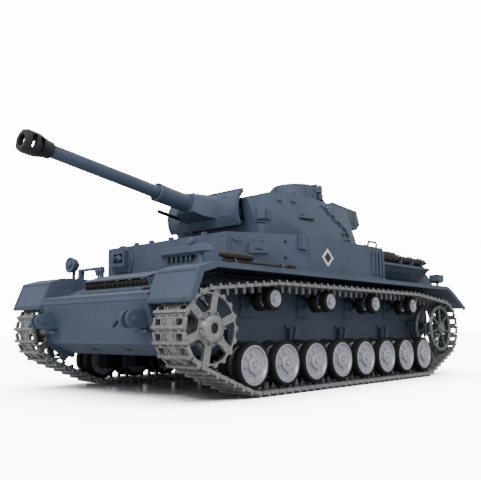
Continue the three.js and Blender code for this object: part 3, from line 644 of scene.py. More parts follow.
def make_idler(side_name):
    side = SIDES[side_name]
    node = f"idler_{side_name}"
    centre, radius = disc_of(node)
    place = move(centre.x, side * TRACK_Y, centre.z)
    tube = 1.75
    wheel = Shape()
    for plane in (6.8, -6.8):
        section = [(radius - tube + u, plane + w) for u, w in circle(10, tube)]
        wheel.turn(outward(section, side), 48, matrix=place)
        for k in range(7):
            around = place @ spin(math.tau * (k + 0.25) / 7, "Y")
            ends = [(4.6, side * plane * 0.92, 0), (radius - 1.6, side * plane, 0)]
            wheel.wire(ends, 0.95, 8, around)
            wheel.hull([
                (x, side * plane + dy, dz)
                for x, half in ((4.4, 1.7), (8.4, 0.8)) for dy in (-0.8, 0.8) for dz in (-half, half)
            ], around)
    wheel.turn(outward([
        (0, -8.4), (5.2, -8.4), (5.2, -5.4), (3.6, -4.6), (3.6, 4.6), (5.2, 5.4), (5.4, 8.4),
        (5.0, 8.9), (3.4, 9.0), (3.1, 9.6), (2.8, 9.9), (0, 9.9),
    ], side), 32, matrix=place)
    for k in range(7):
        around = place @ spin(math.tau * k / 7, "Y")
        wheel.rod(0.4, *span(side, 8.6, 9.3), steps=6, matrix=around @ move(4.2, 0, 0))
    piece(f"idler_wheel_{side_name}", wheel, IRON, node, [node], angle=28)


def running_gear():
    for side_name in SIDES:
        make_track(side_name)
        make_sprocket(side_name)
        make_idler(side_name)
        for number in WHEELS:
            make_road_wheel(side_name, number)
        for number in FOURS:
            make_roller(side_name, number)


# ------------------------------------------------------------------ shells copied from the CAD
def shells():
    for node, material, body, ease in (
        ("lower_hull", PAINT, "hull", 0.5), ("upper_hull", PAINT, "hull", 0.45),
        ("turret_shell", PAINT, "turret", 0.45), ("stowage_bin", PAINT, "turret", 0.9),
        ("mantlet", PAINT, "gun", 0.35), ("cupola", PAINT, "turret", 0.3),
        ("cupola_hatch", PAINT, "hatch", 0.35), ("gun_barrel", PAINT, "gun", 0.2),
        ("muzzle_brake", BLACK, "gun", 0.3), ("coaxial_gun", BLACK, "gun", 0.1),
        ("headlight", PAINT, "hull", 0.2), ("blackout_lamp", PAINT, "hull", 0.4),
        ("muffler", PAINT, "hull", 0.4), ("fender_left", PAINT, "hull", 0.2),
        ("fender_right", PAINT, "hull", 0.2),
    ):
        piece(f"{node}_skin", Shape().cad(node), material, body, [node], ease)
    for side_name in SIDES:
        for number in FOURS:
            node = f"bogie_{side_name}_{number}"
            piece(f"{node}_skin", Shape().cad(node), DARK, node, [node], 0.4)


def repaint(node, material):
    for slot in frame["nodes"][node].material_slots:
        slot.material = material


def inside_pieces():
    repaint("battery_pack", wrapped("battery_sleeve", srgb(24, 60, 120), srgb(32, 76, 145)))
    repaint("control_board", wrapped("board_green", srgb(14, 74, 44), srgb(20, 92, 56), 0.4))
    shell = wrapped("gearbox_moulding", srgb(178, 181, 185), srgb(192, 195, 199), 0.5)
    repaint("gearbox_left", shell)
    repaint("gearbox_right", shell)
    repaint("battery_door", DARK)
    repaint("power_switch", DARK)


# ------------------------------------------------------------------ places on the CAD's surfaces
DECK_Z, GLACIS_X, NOSE_X, NOSE_Z = 75.8, 118.0, 170.0, 59.1  # top face of the glacis plate
FRONT_X = 112.0  # front plate of the superstructure
FLARE_X, SIDE_Y, FRONT_Y = 44.0, 79.0, 62.0  # its side walls run outward from the front plate to FLARE_X
FENDER_TOP, FENDER_Y = 76.5, 92.6  # top and outer edge of a fender
HULL_Y = 57.0  # side wall of the lower hull
ENGINE_DECK, REAR_X = 100.5, -170.0
ABOVE, BESIDE = 170, 95  # starts of rays that come down on the roof and in from the side
TRUNNION, GUN_RISE = (60.0, 0, 127.2), math.radians(8.2)
HINGE_TURN = math.radians(127)  # the hatch's hinge, round the cupola
FLARE = math.atan2(SIDE_Y - FRONT_Y, FRONT_X - FLARE_X)
SLOPE = math.atan2(DECK_Z - NOSE_Z, NOSE_X - GLACIS_X)
TREES = {}


def mirror(side):
    return Matrix.Scale(side, 4, (0, 1, 0))


def wall(x, z, side=1):
    """A frame on a side wall of the superstructure: u forward, v outward, w up."""
    flared = x > FLARE_X
    y = SIDE_Y - (x - FLARE_X) * math.tan(FLARE) if flared else SIDE_Y
    return mirror(side) @ move(x, y, z) @ spin(-FLARE if flared else 0, "Z")


def glacis(x, y):
    """A frame on the glacis: u forward and down, v to the left, w outward."""
    return move(x, y, DECK_Z - (x - GLACIS_X) * math.tan(SLOPE)) @ spin(SLOPE, "Y")


def seat(node, start, way):
    """A frame where a ray first meets a CAD node: u along it, v outward, w up."""
    if node not in TREES:
        mesh = frame["nodes"][node].data
        points = [(v.co - ORIGIN) / MM for v in mesh.vertices]
        TREES[node] = BVHTree.FromPolygons(points, [tuple(p.vertices) for p in mesh.polygons])
    spot, out, _, _ = TREES[node].ray_cast(Vector(start), Vector(way))
    if out.dot(Vector(way)) > 0:
        out = -out
    up = Vector((0, 0, 1)) if abs(out.z) < 0.95 else Vector((1, 0, 0))
    along = out.cross(up).normalized()
    matrix = Matrix((along, out, along.cross(out))).transposed().to_4x4()
    matrix.translation = spot
    return matrix


def turret_side(x, z):
    return seat("turret_shell", (x, BESIDE, z), (0, -1, 0))


RIVET = [(0, -0.3), (1, -0.3), (0.95, 0.35), (0.6, 0.75), (0, 0.9)]


def rivet(shape, matrix, radius=0.6, axis="y"):
    shape.turn([(r * radius, h * radius) for r, h in RIVET], 8, axis, matrix=matrix)


def bolt(shape, matrix, radius=0.8, height=0.8, axis="y"):
    shape.rod(radius, -0.3, height, axis, steps=6, edge=0.12, matrix=matrix)


def block(shape, x, y, z, chamfer, matrix):
    """A box whose outward (v) face is drawn in by a chamfer on its four sides."""
    c = chamfer
    near = [(a, y[0], b) for a in x for b in z] + [(a, y[1] - c, b) for a in x for b in z]
    far = [(a, y[1], b) for a in (x[0] + c, x[1] - c) for b in (z[0] + c, z[1] - c)]
    shape.hull(near + far, matrix)


# ------------------------------------------------------------------ front of the hull
def front_plate():
    visor = Shape()
    hood = ((111.4, 88.2), (114.6, 88.2), (116.4, 90.2), (116.0, 94.6), (111.4, 96.2))
    visor.hull([(x, y, z) for y in (4.4, 36.4) for x, z in hood])
    for y in (8.4, 13.2, 18.0, 22.8, 27.6, 31.4):
        visor.box((111.6, 114.4), (y - 0.7, y + 0.7), (84.8, 88.4))
    visor.turn([(0, 111.4), (3.1, 111.4), (3.0, 113.4), (2.2, 114.8), (0, 115.4)], 20, "x",
        (0, 31.2, 97.3))
    for y in (-30.1, -13.1, 8.0, 40.9):
        visor.box((108.6, 111.6), (y - 1.3, y + 1.3), (100.0, 103.0))
        visor.rod(0.9, y - 2.2, y + 2.2, "y", (110.4, 0, 102.4), 10)
    for side in (1, -1):
        visor.box((-0.8, 0.8), (-0.3, 0.55), (-8.4, 14.8), wall(FRONT_X - 2.0, 86.0, side))
        for z in (79, 84, 89, 94, 99):
            rivet(visor, move(FRONT_X, side * 59.6, z), 0.55, "x")
    for y in range(-56, 60, 8):
        rivet(visor, move(FRONT_X, y, 78.2), 0.5, "x")
    piece("driver_visor", visor, PAINT, "hull", ease=0.35)
    # A dark plate at the back of the gap under the visor hood: painted shade in the gap between the slit
    # posts.
    slit = Shape().box((111.6, 112.5), (6.6, 33.2), (85.2, 88.6))
    piece("visor_slit_shade", slit, DARK, "hull", ease=0.1)

    ball_y, ball_z = -43.5, 91.9
    mount = Shape()
    mount.turn([
        (0, 110.6), (11.4, 110.6), (11.4, 112.9), (10.9, 113.4), (10.0, 113.4), (9.7, 113.1), (0, 113.1),
    ], 44, "x", (0, -42.4, 88.9))
    window, jambs = (-49.0, -38.0), ((-51.2, -49.0), (-38.0, -35.8))
    frame = [(jamb, (86.0, 97.4)) for jamb in jambs] + [(window, (95.2, 97.4)), (window, (86.0, 88.6))]
    for y, z in frame:
        mount.box((112.8, 117.0), y, z)
    sill = ((112.8, 81.6), (114.2, 81.6), (116.8, 86.0), (112.8, 86.0))
    mount.hull([(x, y, z) for y in (-50.8, -36.2) for x, z in sill])
    down = [math.pi - k * math.pi / 10 for k in range(11)]
    ball = [(3.1 * math.sin(a), 115.2 + 3.1 * math.cos(a)) for a in down]
    mount.turn(ball, 20, "x", (0, ball_y, ball_z))
    mount.turn([(0, 117), (1.3, 117), (1.3, 120.8), (0.7, 120.8), (0.7, 118.6), (0, 118.6)], 14, "x",
        (0, ball_y, ball_z))
    for u, w in circle(6, 9.9, math.pi / 2):
        rivet(mount, move(113.3, -42.4 + u, 88.9 + w), 0.5, "x")
    piece("bow_gun_mount", mount, PAINT, "hull", ["bow_gun"], ease=0.3)
    # A dark box in the port's window behind the ball: painted shade in the recess.
    port = Shape().box((112.8, 114.0), (-49.2, -37.8), (88.4, 95.4))
    piece("bow_gun_port_shade", port, DARK, "hull", ease=0.1)


def tow_bracket(shape, side):
    """Two upright ears that stand forward from the nose, with a pin through them."""
    centre_x, centre_z, radius = 175.4, 45.6, 5.0
    ear = [
        (centre_x + radius * math.sin(a), centre_z + radius * math.cos(a))
        for a in (math.pi * k / 12 for k in range(13))
    ]
    outline = ear + [(161.0, centre_z - radius), (165.4, centre_z + radius)]
    for y in (45.4, 51.0):
        shape.prism(outline, *span(side, y - 0.9, y + 0.9))
    shape.rod(1.5, *span(side, 43.6, 52.9), "y", (centre_x, 0, centre_z), 14)
    for z in (38.6, 52.6):
        shape.box((163.6, 168.4), span(side, 42.8, 53.6), (z - 1.0, z + 1.0))


def nose():
    fittings = Shape()
    for side in (1, -1):
        tow_bracket(fittings, side)
        wall_outline = [
            (GLACIS_X, FENDER_TOP - 0.2), (152, FENDER_TOP - 0.2), (163.6, 72.6), (170.6, 55.4),
            (169.6, NOSE_Z - 1.6), (GLACIS_X, DECK_Z - 1.6),
        ]
        fittings.prism(wall_outline, *span(side, HULL_Y - 0.9, HULL_Y + 0.25))
        flange = [(170.9, 56.4), (168.6, 56.4), (160.0, 31.4), (162.3, 31.4)]
        fittings.prism(flange, *span(side, HULL_Y - 1.3, HULL_Y + 0.2))
        for z in (35, 40, 45, 50, 54):
            rivet(fittings, mirror(side) @ move(162.0 + (z - 31.1) * 0.35, HULL_Y + 0.1, z), 0.5)
    fittings.box((-3.6, 1.7), (-HULL_Y, HULL_Y), (-0.6, 1.5), glacis(168.4, 0))
    for y in (-47.0, 50.0):
        fittings.wire([(-2, 0, 0), (-2, 0, 2.4), (2, 0, 2.4), (2, 0, 0)], 0.5, 8, glacis(155, y))
        fittings.box((-3.4, 3.4), (-1.6, 1.6), (-0.3, 0.5), glacis(155, y))
    piece("nose_fittings", fittings, PAINT, "hull", ease=0.3)

    # Dark patches for the slots in the nose plate, the lower slope and the glacis: painted shade inside
    # the slots.
    dark = Shape()
    dark.hull([
        (x, y, z + dz)
        for y, z in ((24.2, 44.8), (18.8, 41.9)) for dz in (0.7, -0.7)
        for x in (164.0, 166.0 + (z - 43) * 0.35)
    ])
    for y in (-15.9, 19.5):
        slope = move(153.6, 0, 27.6) @ spin(math.radians(155), "Y")
        dark.box((-1.4, 1.4), (y - 2.4, y + 2.4), (-0.3, 0.25), slope)
    oval = glacis(155, 37) @ Matrix.Scale(0.5, 4, (1, 0, 0))
    dark.turn([(0, -0.3), (3.4, -0.3), (3.4, 0.7), (2.8, 1.0), (0, 1.0)], 20, "z", matrix=oval)
    piece("nose_slot_shade", dark, DARK, "hull", ease=0.1)


def spare_link_rack():
    spot = glacis(146, 0)
    rack = Shape()
    base = [(u, v, 0) for u in (-13, 9) for v in (-34, 39)]
    rack.hull(base + [(u, v, 1.5) for u in (-12, 8) for v in (-33, 38)], spot)
    rack.box((-9.4, -6.2), (-32.5, 36.5), (5.4, 7.2), spot)
    for v in (-32.5, 34.6):
        rack.box((-9.4, 5.4), (v, v + 1.9), (1.2, 7.2), spot)
    rack.box((-7.0, 5.4), (-32.5, 36.5), (6.3, 7.3), spot)
    for v in (-31.4, -10, 12, 35.4):
        bolt(rack, spot @ move(-8, v, 7.2), 0.8, 0.7, "z")
    piece("spare_link_rack", rack, PAINT, "hull", ease=0.3)
    links = Shape()
    width = 13.2
    for k in range(5):
        v = -30.2 + k * width
        links.box((-7.6, 4.2), (v + 0.3, v + width - 0.9), (1.6, 3.4), spot)
        links.box((3.2, 6.0), (v + 0.2, v + width - 0.7), (1.8, 5.4), spot)
        for share in (0.18, 0.5, 0.82):
            links.rod(1.0, 5.2, 7.2, "x", (0, v + share * width - 0.3, 3.6), 10, matrix=spot)
        links.box((-4.2, 1.2), (v + width * 0.5 - 1.6, v + width * 0.5 + 0.8), (3.0, 6.0), spot)
        links.rod(0.8, v, v + width - 0.5, "y", (-7.4, 0, 2.6), 8, matrix=spot)
    piece("spare_links", links, BROWN, "hull", ease=0.25)


def lamps():
    """The headlamp's rim and lens, the bar beside it, and the stays and folded edges of the fenders."""
    bar = Shape()
    bar.box((132.6, 135.4), (-65.2, -37.4), (82.6, 84.4))
    bar.box((132.2, 135.8), (-66.0, -62.6), (76.4, 84.2))
    bar.box((132.8, 135.2), (-39.4, -37.4), (72, 84.2))
    bar.rod(1.7, -45.4, -36.6, "y", (134, 0, 81.6), 14)
    bar.rod(2.0, -1.2, 1.2, "z", (134, -43, 79.4), 14)
    bar.rod(0.8, 72, 80.2, "z", (134, -43, 0), 10)
    bar.box((132.2, 135.8), (-66.4, -62.8), (76.4, 77.4))
    lamp_y, lamp_z, face = -75.0, 88.2, 137.5
    lamp = move(face, lamp_y, lamp_z)
    bar.turn([(5.9, -1.4), (6.1, -0.4), (5.7, 0.3), (4.6, 0.3), (4.4, -0.8)], 36, "x", matrix=lamp)
    bar.turn([(0, -0.9), (2.4, -0.9), (2.2, 0.5), (1.2, 1.2), (0, 1.3)], 20, "x", matrix=lamp)
    for k in range(6):
        bar.box((-0.9, -0.1), (2.2, 4.6), (-0.35, 0.35), lamp @ spin(math.tau * k / 6, "X"))
    bar.box((126, 133), (-76.2, -73.8), (76.4, 77.6))
    bar.wire([(131, -75, 77.4), (129, -75, 79.6), (128.4, -75, 83)], 0.5)
    piece("lamp_fittings", bar, PAINT, "hull", ease=0.2)
    for name, side in SIDES.items():
        stays = Shape()
        edge = mirror(side)
        for x in (96, 22, -52, -112):
            root = SIDE_Y - 2 if abs(x) < 60 else 66
            gusset = [(root, FENDER_TOP), (FENDER_Y - 4, FENDER_TOP), (root, 81)]
            stays.prism(gusset, x - 0.6, x + 0.6, "x", edge)
        for x in range(-140, 150, 12):
            rivet(stays, edge @ move(x, FENDER_Y - 1.4, FENDER_TOP), 0.5, "z")
        stays.box((-144, 150), (FENDER_Y - 1.5, FENDER_Y + 0.1), (FENDER_TOP - 0.3, FENDER_TOP + 0.35),
            edge)
        for z, x in ((71.6, 164.6), (56.2, 170.8)):
            stays.box((x - 0.9, x + 0.4), (58.5, FENDER_Y - 0.4), (z - 0.45, z + 0.45), edge)
        front_fold = [
            (150.6, 76.6), (152.2, 76.6), (164.4, 73.1), (171.6, 54.7), (167.4, 54.7), (160.6, 70.2),
            (150.6, 73.2),
        ]
        rear_fold = [
            (-144.6, 76.6), (-146.2, 76.6), (-159, 71.1), (-181.4, 58.9), (-179.2, 55.9), (-157, 67.9),
            (-144.6, 73.2),
        ]
        for fold in (front_fold, rear_fold):
            stays.prism(fold, FENDER_Y - 1.4, FENDER_Y + 0.15, "y", edge)
        piece(f"fender_stays_{name}", stays, PAINT, "hull", ease=0.15)


# ------------------------------------------------------------------ sides of the superstructure
def side_fittings(name, side):
    trim = Shape()
    for x, z in ((91.6, 97.9), (84.9, 97.7)):
        rivet(trim, wall(x, z, side), 0.9)
    spot = wall(104.2, 96.2, side)
    eyelid = [(-3.1, -0.2, 0.9), (-3.1, 1.2, 0.5), (-1.8, 1.6, -0.4), (1.8, 1.6, -0.4), (3.1, 1.2, 0.5),
        (3.1, -0.2, 0.9)]
    trim.wire(eyelid, 0.45, 8, spot)
    plate = wall(88.4, 92.0, side)
    panel = ((7.6, 3.6), (7.6, -4.0), (-8.0, -2.8), (-5.8, 3.3))
    trim.hull([(u, v, w) for u, w in panel for v in (-0.3, 2.2)], plate)
    box = wall(52.2, 99.2, side)
    for k, depth in enumerate((1.8, 2.6, 1.8)):
        low = -2.9 + k * 1.95
        trim.box((low, low + 1.9), (-0.3, depth), (-4.4, 4.4), box)
    trim.box((-3.3, 3.3), (-0.3, 3.0), (-5.6, -4.3), box)
    trim.wire([(-33, SIDE_Y - 1, 103), (-33, SIDE_Y, 106.9), (-34, SIDE_Y, 107.8), (-44.5, SIDE_Y, 107.8),
               (-45.5, SIDE_Y, 106.9), (-45.5, SIDE_Y - 1, 103)], 0.9, 8, mirror(side))
    # A dark strip in the gap between the two middle bars: painted shade in the slot.
    slot = Shape().box((-1.7, 1.7), (-0.3, 0.4), (-8, 8), wall(-46.0, 91, side))
    piece(f"side_slot_shade_{name}", slot, DARK, "hull")
    for x, low, high in ((-38.6, 82, 101), (-43.4, 82, 100), (-48.6, 82, 100), (-53.6, 79, 102)):
        trim.box((-1.1, 1.1), (-0.3, 1.3), (low - 90, high - 90), wall(x, 90, side))
        rivet(trim, wall(x, high - 1.6, side) @ move(0, 1.2, 0), 0.5)
        rivet(trim, wall(x, low + 1.6, side) @ move(0, 1.2, 0), 0.5)
    for x in [*range(-50, 44, 9), *range(50, 110, 9)]:
        rivet(trim, wall(x, 79.0, side), 0.45)
    trim.box((-0.5, 0.5), (-0.3, 0.4), (-12.25, 12.25), wall(FLARE_X + 1, 91, side))
    piece(f"side_trim_{name}", trim, PAINT, "hull", ease=0.2)

    # Dark discs for two bolt holes and a dark strip across the vision panel: painted shade standing in
    # for the holes and the panel's slit.
    dark = Shape()
    for z in (98.0, 87.0):
        dark.turn([(0, -0.3), (1.15, -0.3), (1.15, 0.25), (0, 0.3)], 16, "y", matrix=wall(65.8, z, side))
    dark.box((-3.0, 3.0), (1.9, 2.45), (-1.2, -0.5), plate)
    piece(f"side_hole_shade_{name}", dark, DARK, "hull")

    tool = Shape()
    y = 83.6
    ledge = mirror(side) @ move(0 if side > 0 else -118)
    tool.rod(1.35, 76, 137, "x", (0, y, 78.9), 14, 0.5, ledge)
    tool.turn([(0, 111), (1.6, 111), (2.2, 113), (2.3, 124), (2.0, 134), (1.3, 139), (0, 139.6)], 16, "x",
        (0, y - 0.4, 82.3), ledge)
    tool.hull([(x, y + dy, z) for x, z in ((70, 78.0), (70, 80.0), (77, 77.6), (77, 80.6))
        for dy in (-2.2, 2.2)], ledge)
    piece(f"pioneer_tool_{name}", tool, BROWN, "hull", ease=0.2)
    clamps = Shape()
    for x in (84, 128):
        clamps.box((x - 1.6, x + 1.6), (y - 2.6, y + 2.6), (FENDER_TOP - 0.3, 78.2), ledge)
        clamps.wire([(x, y - 2.2, 77), (x, y - 2.2, 79.4), (x, y - 1, 80.8), (x, y + 1, 80.8),
            (x, y + 2.2, 79.4),
                     (x, y + 2.2, 77)], 0.5, 8, ledge)
    piece(f"tool_clamps_{name}", clamps, PAINT, "hull", ease=0.15)


def side_mark(name, side):
    """A plain painted diamond in place of any marking."""
    spot = wall(23.8, 90.2, side)

    def diamond(size, depth):
        return Shape().prism([(size, 0), (0, size * 0.92), (-size, 0), (0, -size * 0.92)], *depth,
            matrix=spot)

    piece(f"side_mark_{name}", diamond(7.2, (-0.1, 0.10)), WHITE, "hull")
    piece(f"side_mark_centre_{name}", diamond(4.4, (0, 0.2)), BLACK, "hull")


# ------------------------------------------------------------------ turret and cupola
def turret_fittings():
    trim, dark = Shape(), Shape()
    for side in (1, -1):
        flip = mirror(side)
        port = flip @ seat("turret_shell", (90, 62, 122.4), (-0.88, -0.47, 0))
        block(trim, (-3.6, 3.6), (-0.4, 2.6), (-4.9, 4.9), 1.1, port)
        trim.box((-3.9, 3.9), (-0.4, 1.2), (-6.3, -5.4), port)
        # A dark strip along the foot of the port block, between it and its lip: painted shadow beneath
        # the block.
        dark.box((-2.9, 2.9), (-0.2, 0.4), (-5.5, -4.8), port)
        for x, z in ((41.6, 133.4), (26.0, 134.6)):
            hook = flip @ turret_side(x, z)
            trim.wire([(-1.8, -0.3, 0), (-1.8, 1.7, 0.2), (0, 2.2, -0.6), (1.8, 1.7, 0.2),
                (1.8, -0.3, 0)], 0.65, 8, hook)
        rivet(trim, flip @ turret_side(17.5, 126.5), 1.5)
        slit = flip @ turret_side(14, 122.2)
        gutter = ((9.2, 0.2), (-9.2, 1.0), (8.6, 1.3), (-8.6, 2.0))
        trim.hull([(u, v, w) for u, w in gutter for v in (-0.3, 1.5)], slit)
        # A dark strip just under the gutter: painted shade beneath it.
        dark.box((-8.2, 8.2), (-0.2, 0.35), (-0.6, 0.3), slit)
        # hinge strip of the side door
        top, low = flip @ turret_side(-13.0, 136.6), flip @ turret_side(-46.0, 119.4)
        for k in range(9):
            spot = top.copy()
            spot.translation = top.translation.lerp(low.translation, k / 8)
            size = 1.9 + 0.6 * ((k * 5) % 3)
            lump = spot @ move(1.6 * (-1) ** k, 0, 0) @ spin(math.radians(28), "Y")
            block(trim, (-size, size), (-1.8, 2.3 + 0.5 * (k % 2)), (-size * 0.8, size * 0.8), 0.6, lump)
            rivet(trim, spot @ move(-2.4, 1.2, 1.6), 0.8)
        for x, z, size in ((-34.5, 116.6, 1.9), (-46.8, 117.2, 1.7), (-36.5, 111.5, 1.5),
                (-46.0, 112.4, 1.3)):
            spot = flip @ turret_side(x, z)
            trim.rod(size * 0.7, -2.4, 2.4, "x", (0, 0.8, 0), 10, matrix=spot)
            trim.box((-1.0, 1.0), (-0.3, 0.9), (-3.2, 1.0), spot)
        for x in (-54, -40, -26):
            rivet(trim, flip @ turret_side(x, 108.5), 0.6)
    for x, y, size in ((36, 18, 5.4), (36, -20, 4.6), (10, 0, 6.2)):
        spot = seat("turret_shell", (x, y, ABOVE), (0, 0, -1))
        trim.turn([(0, -0.3), (size, -0.3), (size, 0.8), (size * 0.8, 1.7), (size * 0.45, 2.2), (0, 2.4)],
            28, "y", matrix=spot)
        for u, w in circle(6, size + 1.3):
            rivet(trim, spot @ move(u, 0, w), 0.45)
    for x, y in ((-56, 33), (-56, -33)):
        spot = seat("turret_shell", (x, y, ABOVE), (0, 0, -1))
        trim.wire([(-1.8, -0.3, 0), (-1.6, 1.9, 0), (0, 2.6, 0), (1.6, 1.9, 0), (1.8, -0.3, 0)], 0.6, 8,
            spot)
    for y in range(-36, 40, 12):
        rivet(trim, seat("turret_shell", (30, y, ABOVE), (0, 0, -1)), 0.5)
    piece("turret_fittings", trim, PAINT, "turret", ease=0.15)
    piece("turret_port_and_gutter_shade", dark, DARK, "turret")


def cupola_fittings():
    low, high = box_of("cupola")
    axis = move((low.x + high.x) / 2, (low.y + high.y) / 2, 0)
    radius, top = 22.0, high.z
    trim = Shape()
    for k in range(5):
        around = axis @ spin(math.tau * k / 5 + 0.5, "Z")
        hood = ((-0.4, 4.2, 6.2), (1.5, 3.8, 6.2), (-0.4, 4.2, 13), (1.3, 3.8, 12.4))
        trim.hull([(radius + a, b, top - drop) for a, half, drop in hood for b in (-half, half)], around)
        seam = axis @ spin(math.tau * (k + 0.5) / 5 + 0.5, "Z")
        trim.box((radius - 0.5, radius + 0.35), (-0.4, 0.4), (top - 14.6, top - 0.6), seam)
    hinge = axis @ spin(HINGE_TURN, "Z")
    trim.rod(1.6, -9.5, 9.5, "y", (radius + 0.9, 0, top + 1.0), 16, matrix=hinge)
    for y in (-8.6, 0, 8.6):
        trim.box((radius - 3.2, radius + 3.0), (y - 1.7, y + 1.7), (top - 4.2, top + 1.6), hinge)
        trim.box((radius - 0.3, radius + 3.4), (y - 2.3, y + 2.3), (top - 10.5, top - 5.6), hinge)
        rivet(trim, hinge @ move(radius + 3.2, y, top - 8), 0.8, "x")
    brace = ((0, 4, 8), (7, 3, 17.6), (2.2, 4, 7), (9, 3, 16.4))
    trim.hull([(radius + a, b, top - drop) for a, half, drop in brace for b in (-half, half)], hinge)
    piece("cupola_fittings", trim, PAINT, "turret", ease=0.2)
    lid = Shape()
    rise = top + 2.5
    for k in range(8):
        spot = axis @ spin(math.tau * (k + 0.5) / 8, "Z") @ move(16.8, 0, rise)
        rivet(lid, spot, 0.55, "z")
    lid.turn([(6.4, rise - 0.3), (7.2, rise - 0.3), (7.2, rise + 0.5), (6.4, rise + 0.5)], 28, "z",
        matrix=axis)
    grip = [(-10.5, -4, rise - 0.2), (-10.5, -4, rise + 0.9), (-10.5, 4, rise + 0.9),
        (-10.5, 4, rise - 0.2)]
    lid.wire(grip, 0.5, 8, hinge)
    piece("hatch_fittings", lid, PAINT, "hatch", ease=0.1)


def stowage_fittings():
    low, high = box_of("stowage_bin")
    trim = Shape()
    lid_z = high.z
    trim.hull([(x, y, z) for x, half in ((low.x + 3.6, 28.6), (-52.0, 34.5)) for y in (-half, half)
               for z in (lid_z - 0.9, lid_z + 0.25)])
    for y in (-17, 17):
        trim.rod(0.9, y - 4, y + 4, "y", (-51.6, 0, lid_z + 0.6), 10)
        clasp = seat("stowage_bin", (low.x - 30, y, lid_z - 7), (1, 0, 0))
        trim.box((-1.7, 1.7), (-0.3, 1.0), (-3.4, 3.2), clasp)
        trim.rod(0.7, -1.9, 1.9, "x", (0, 1.1, -2.4), 8, matrix=clasp)
    for side in (1, -1):
        for x in (-72, -90):
            strap = mirror(side) @ seat("stowage_bin", (x, 70, 139.5), (0, -1, 0))
            trim.box((-1.1, 1.1), (-0.3, 0.5), (-6.2, 6.4), strap)
    piece("bin_fittings", trim, PAINT, "turret", ease=0.3)


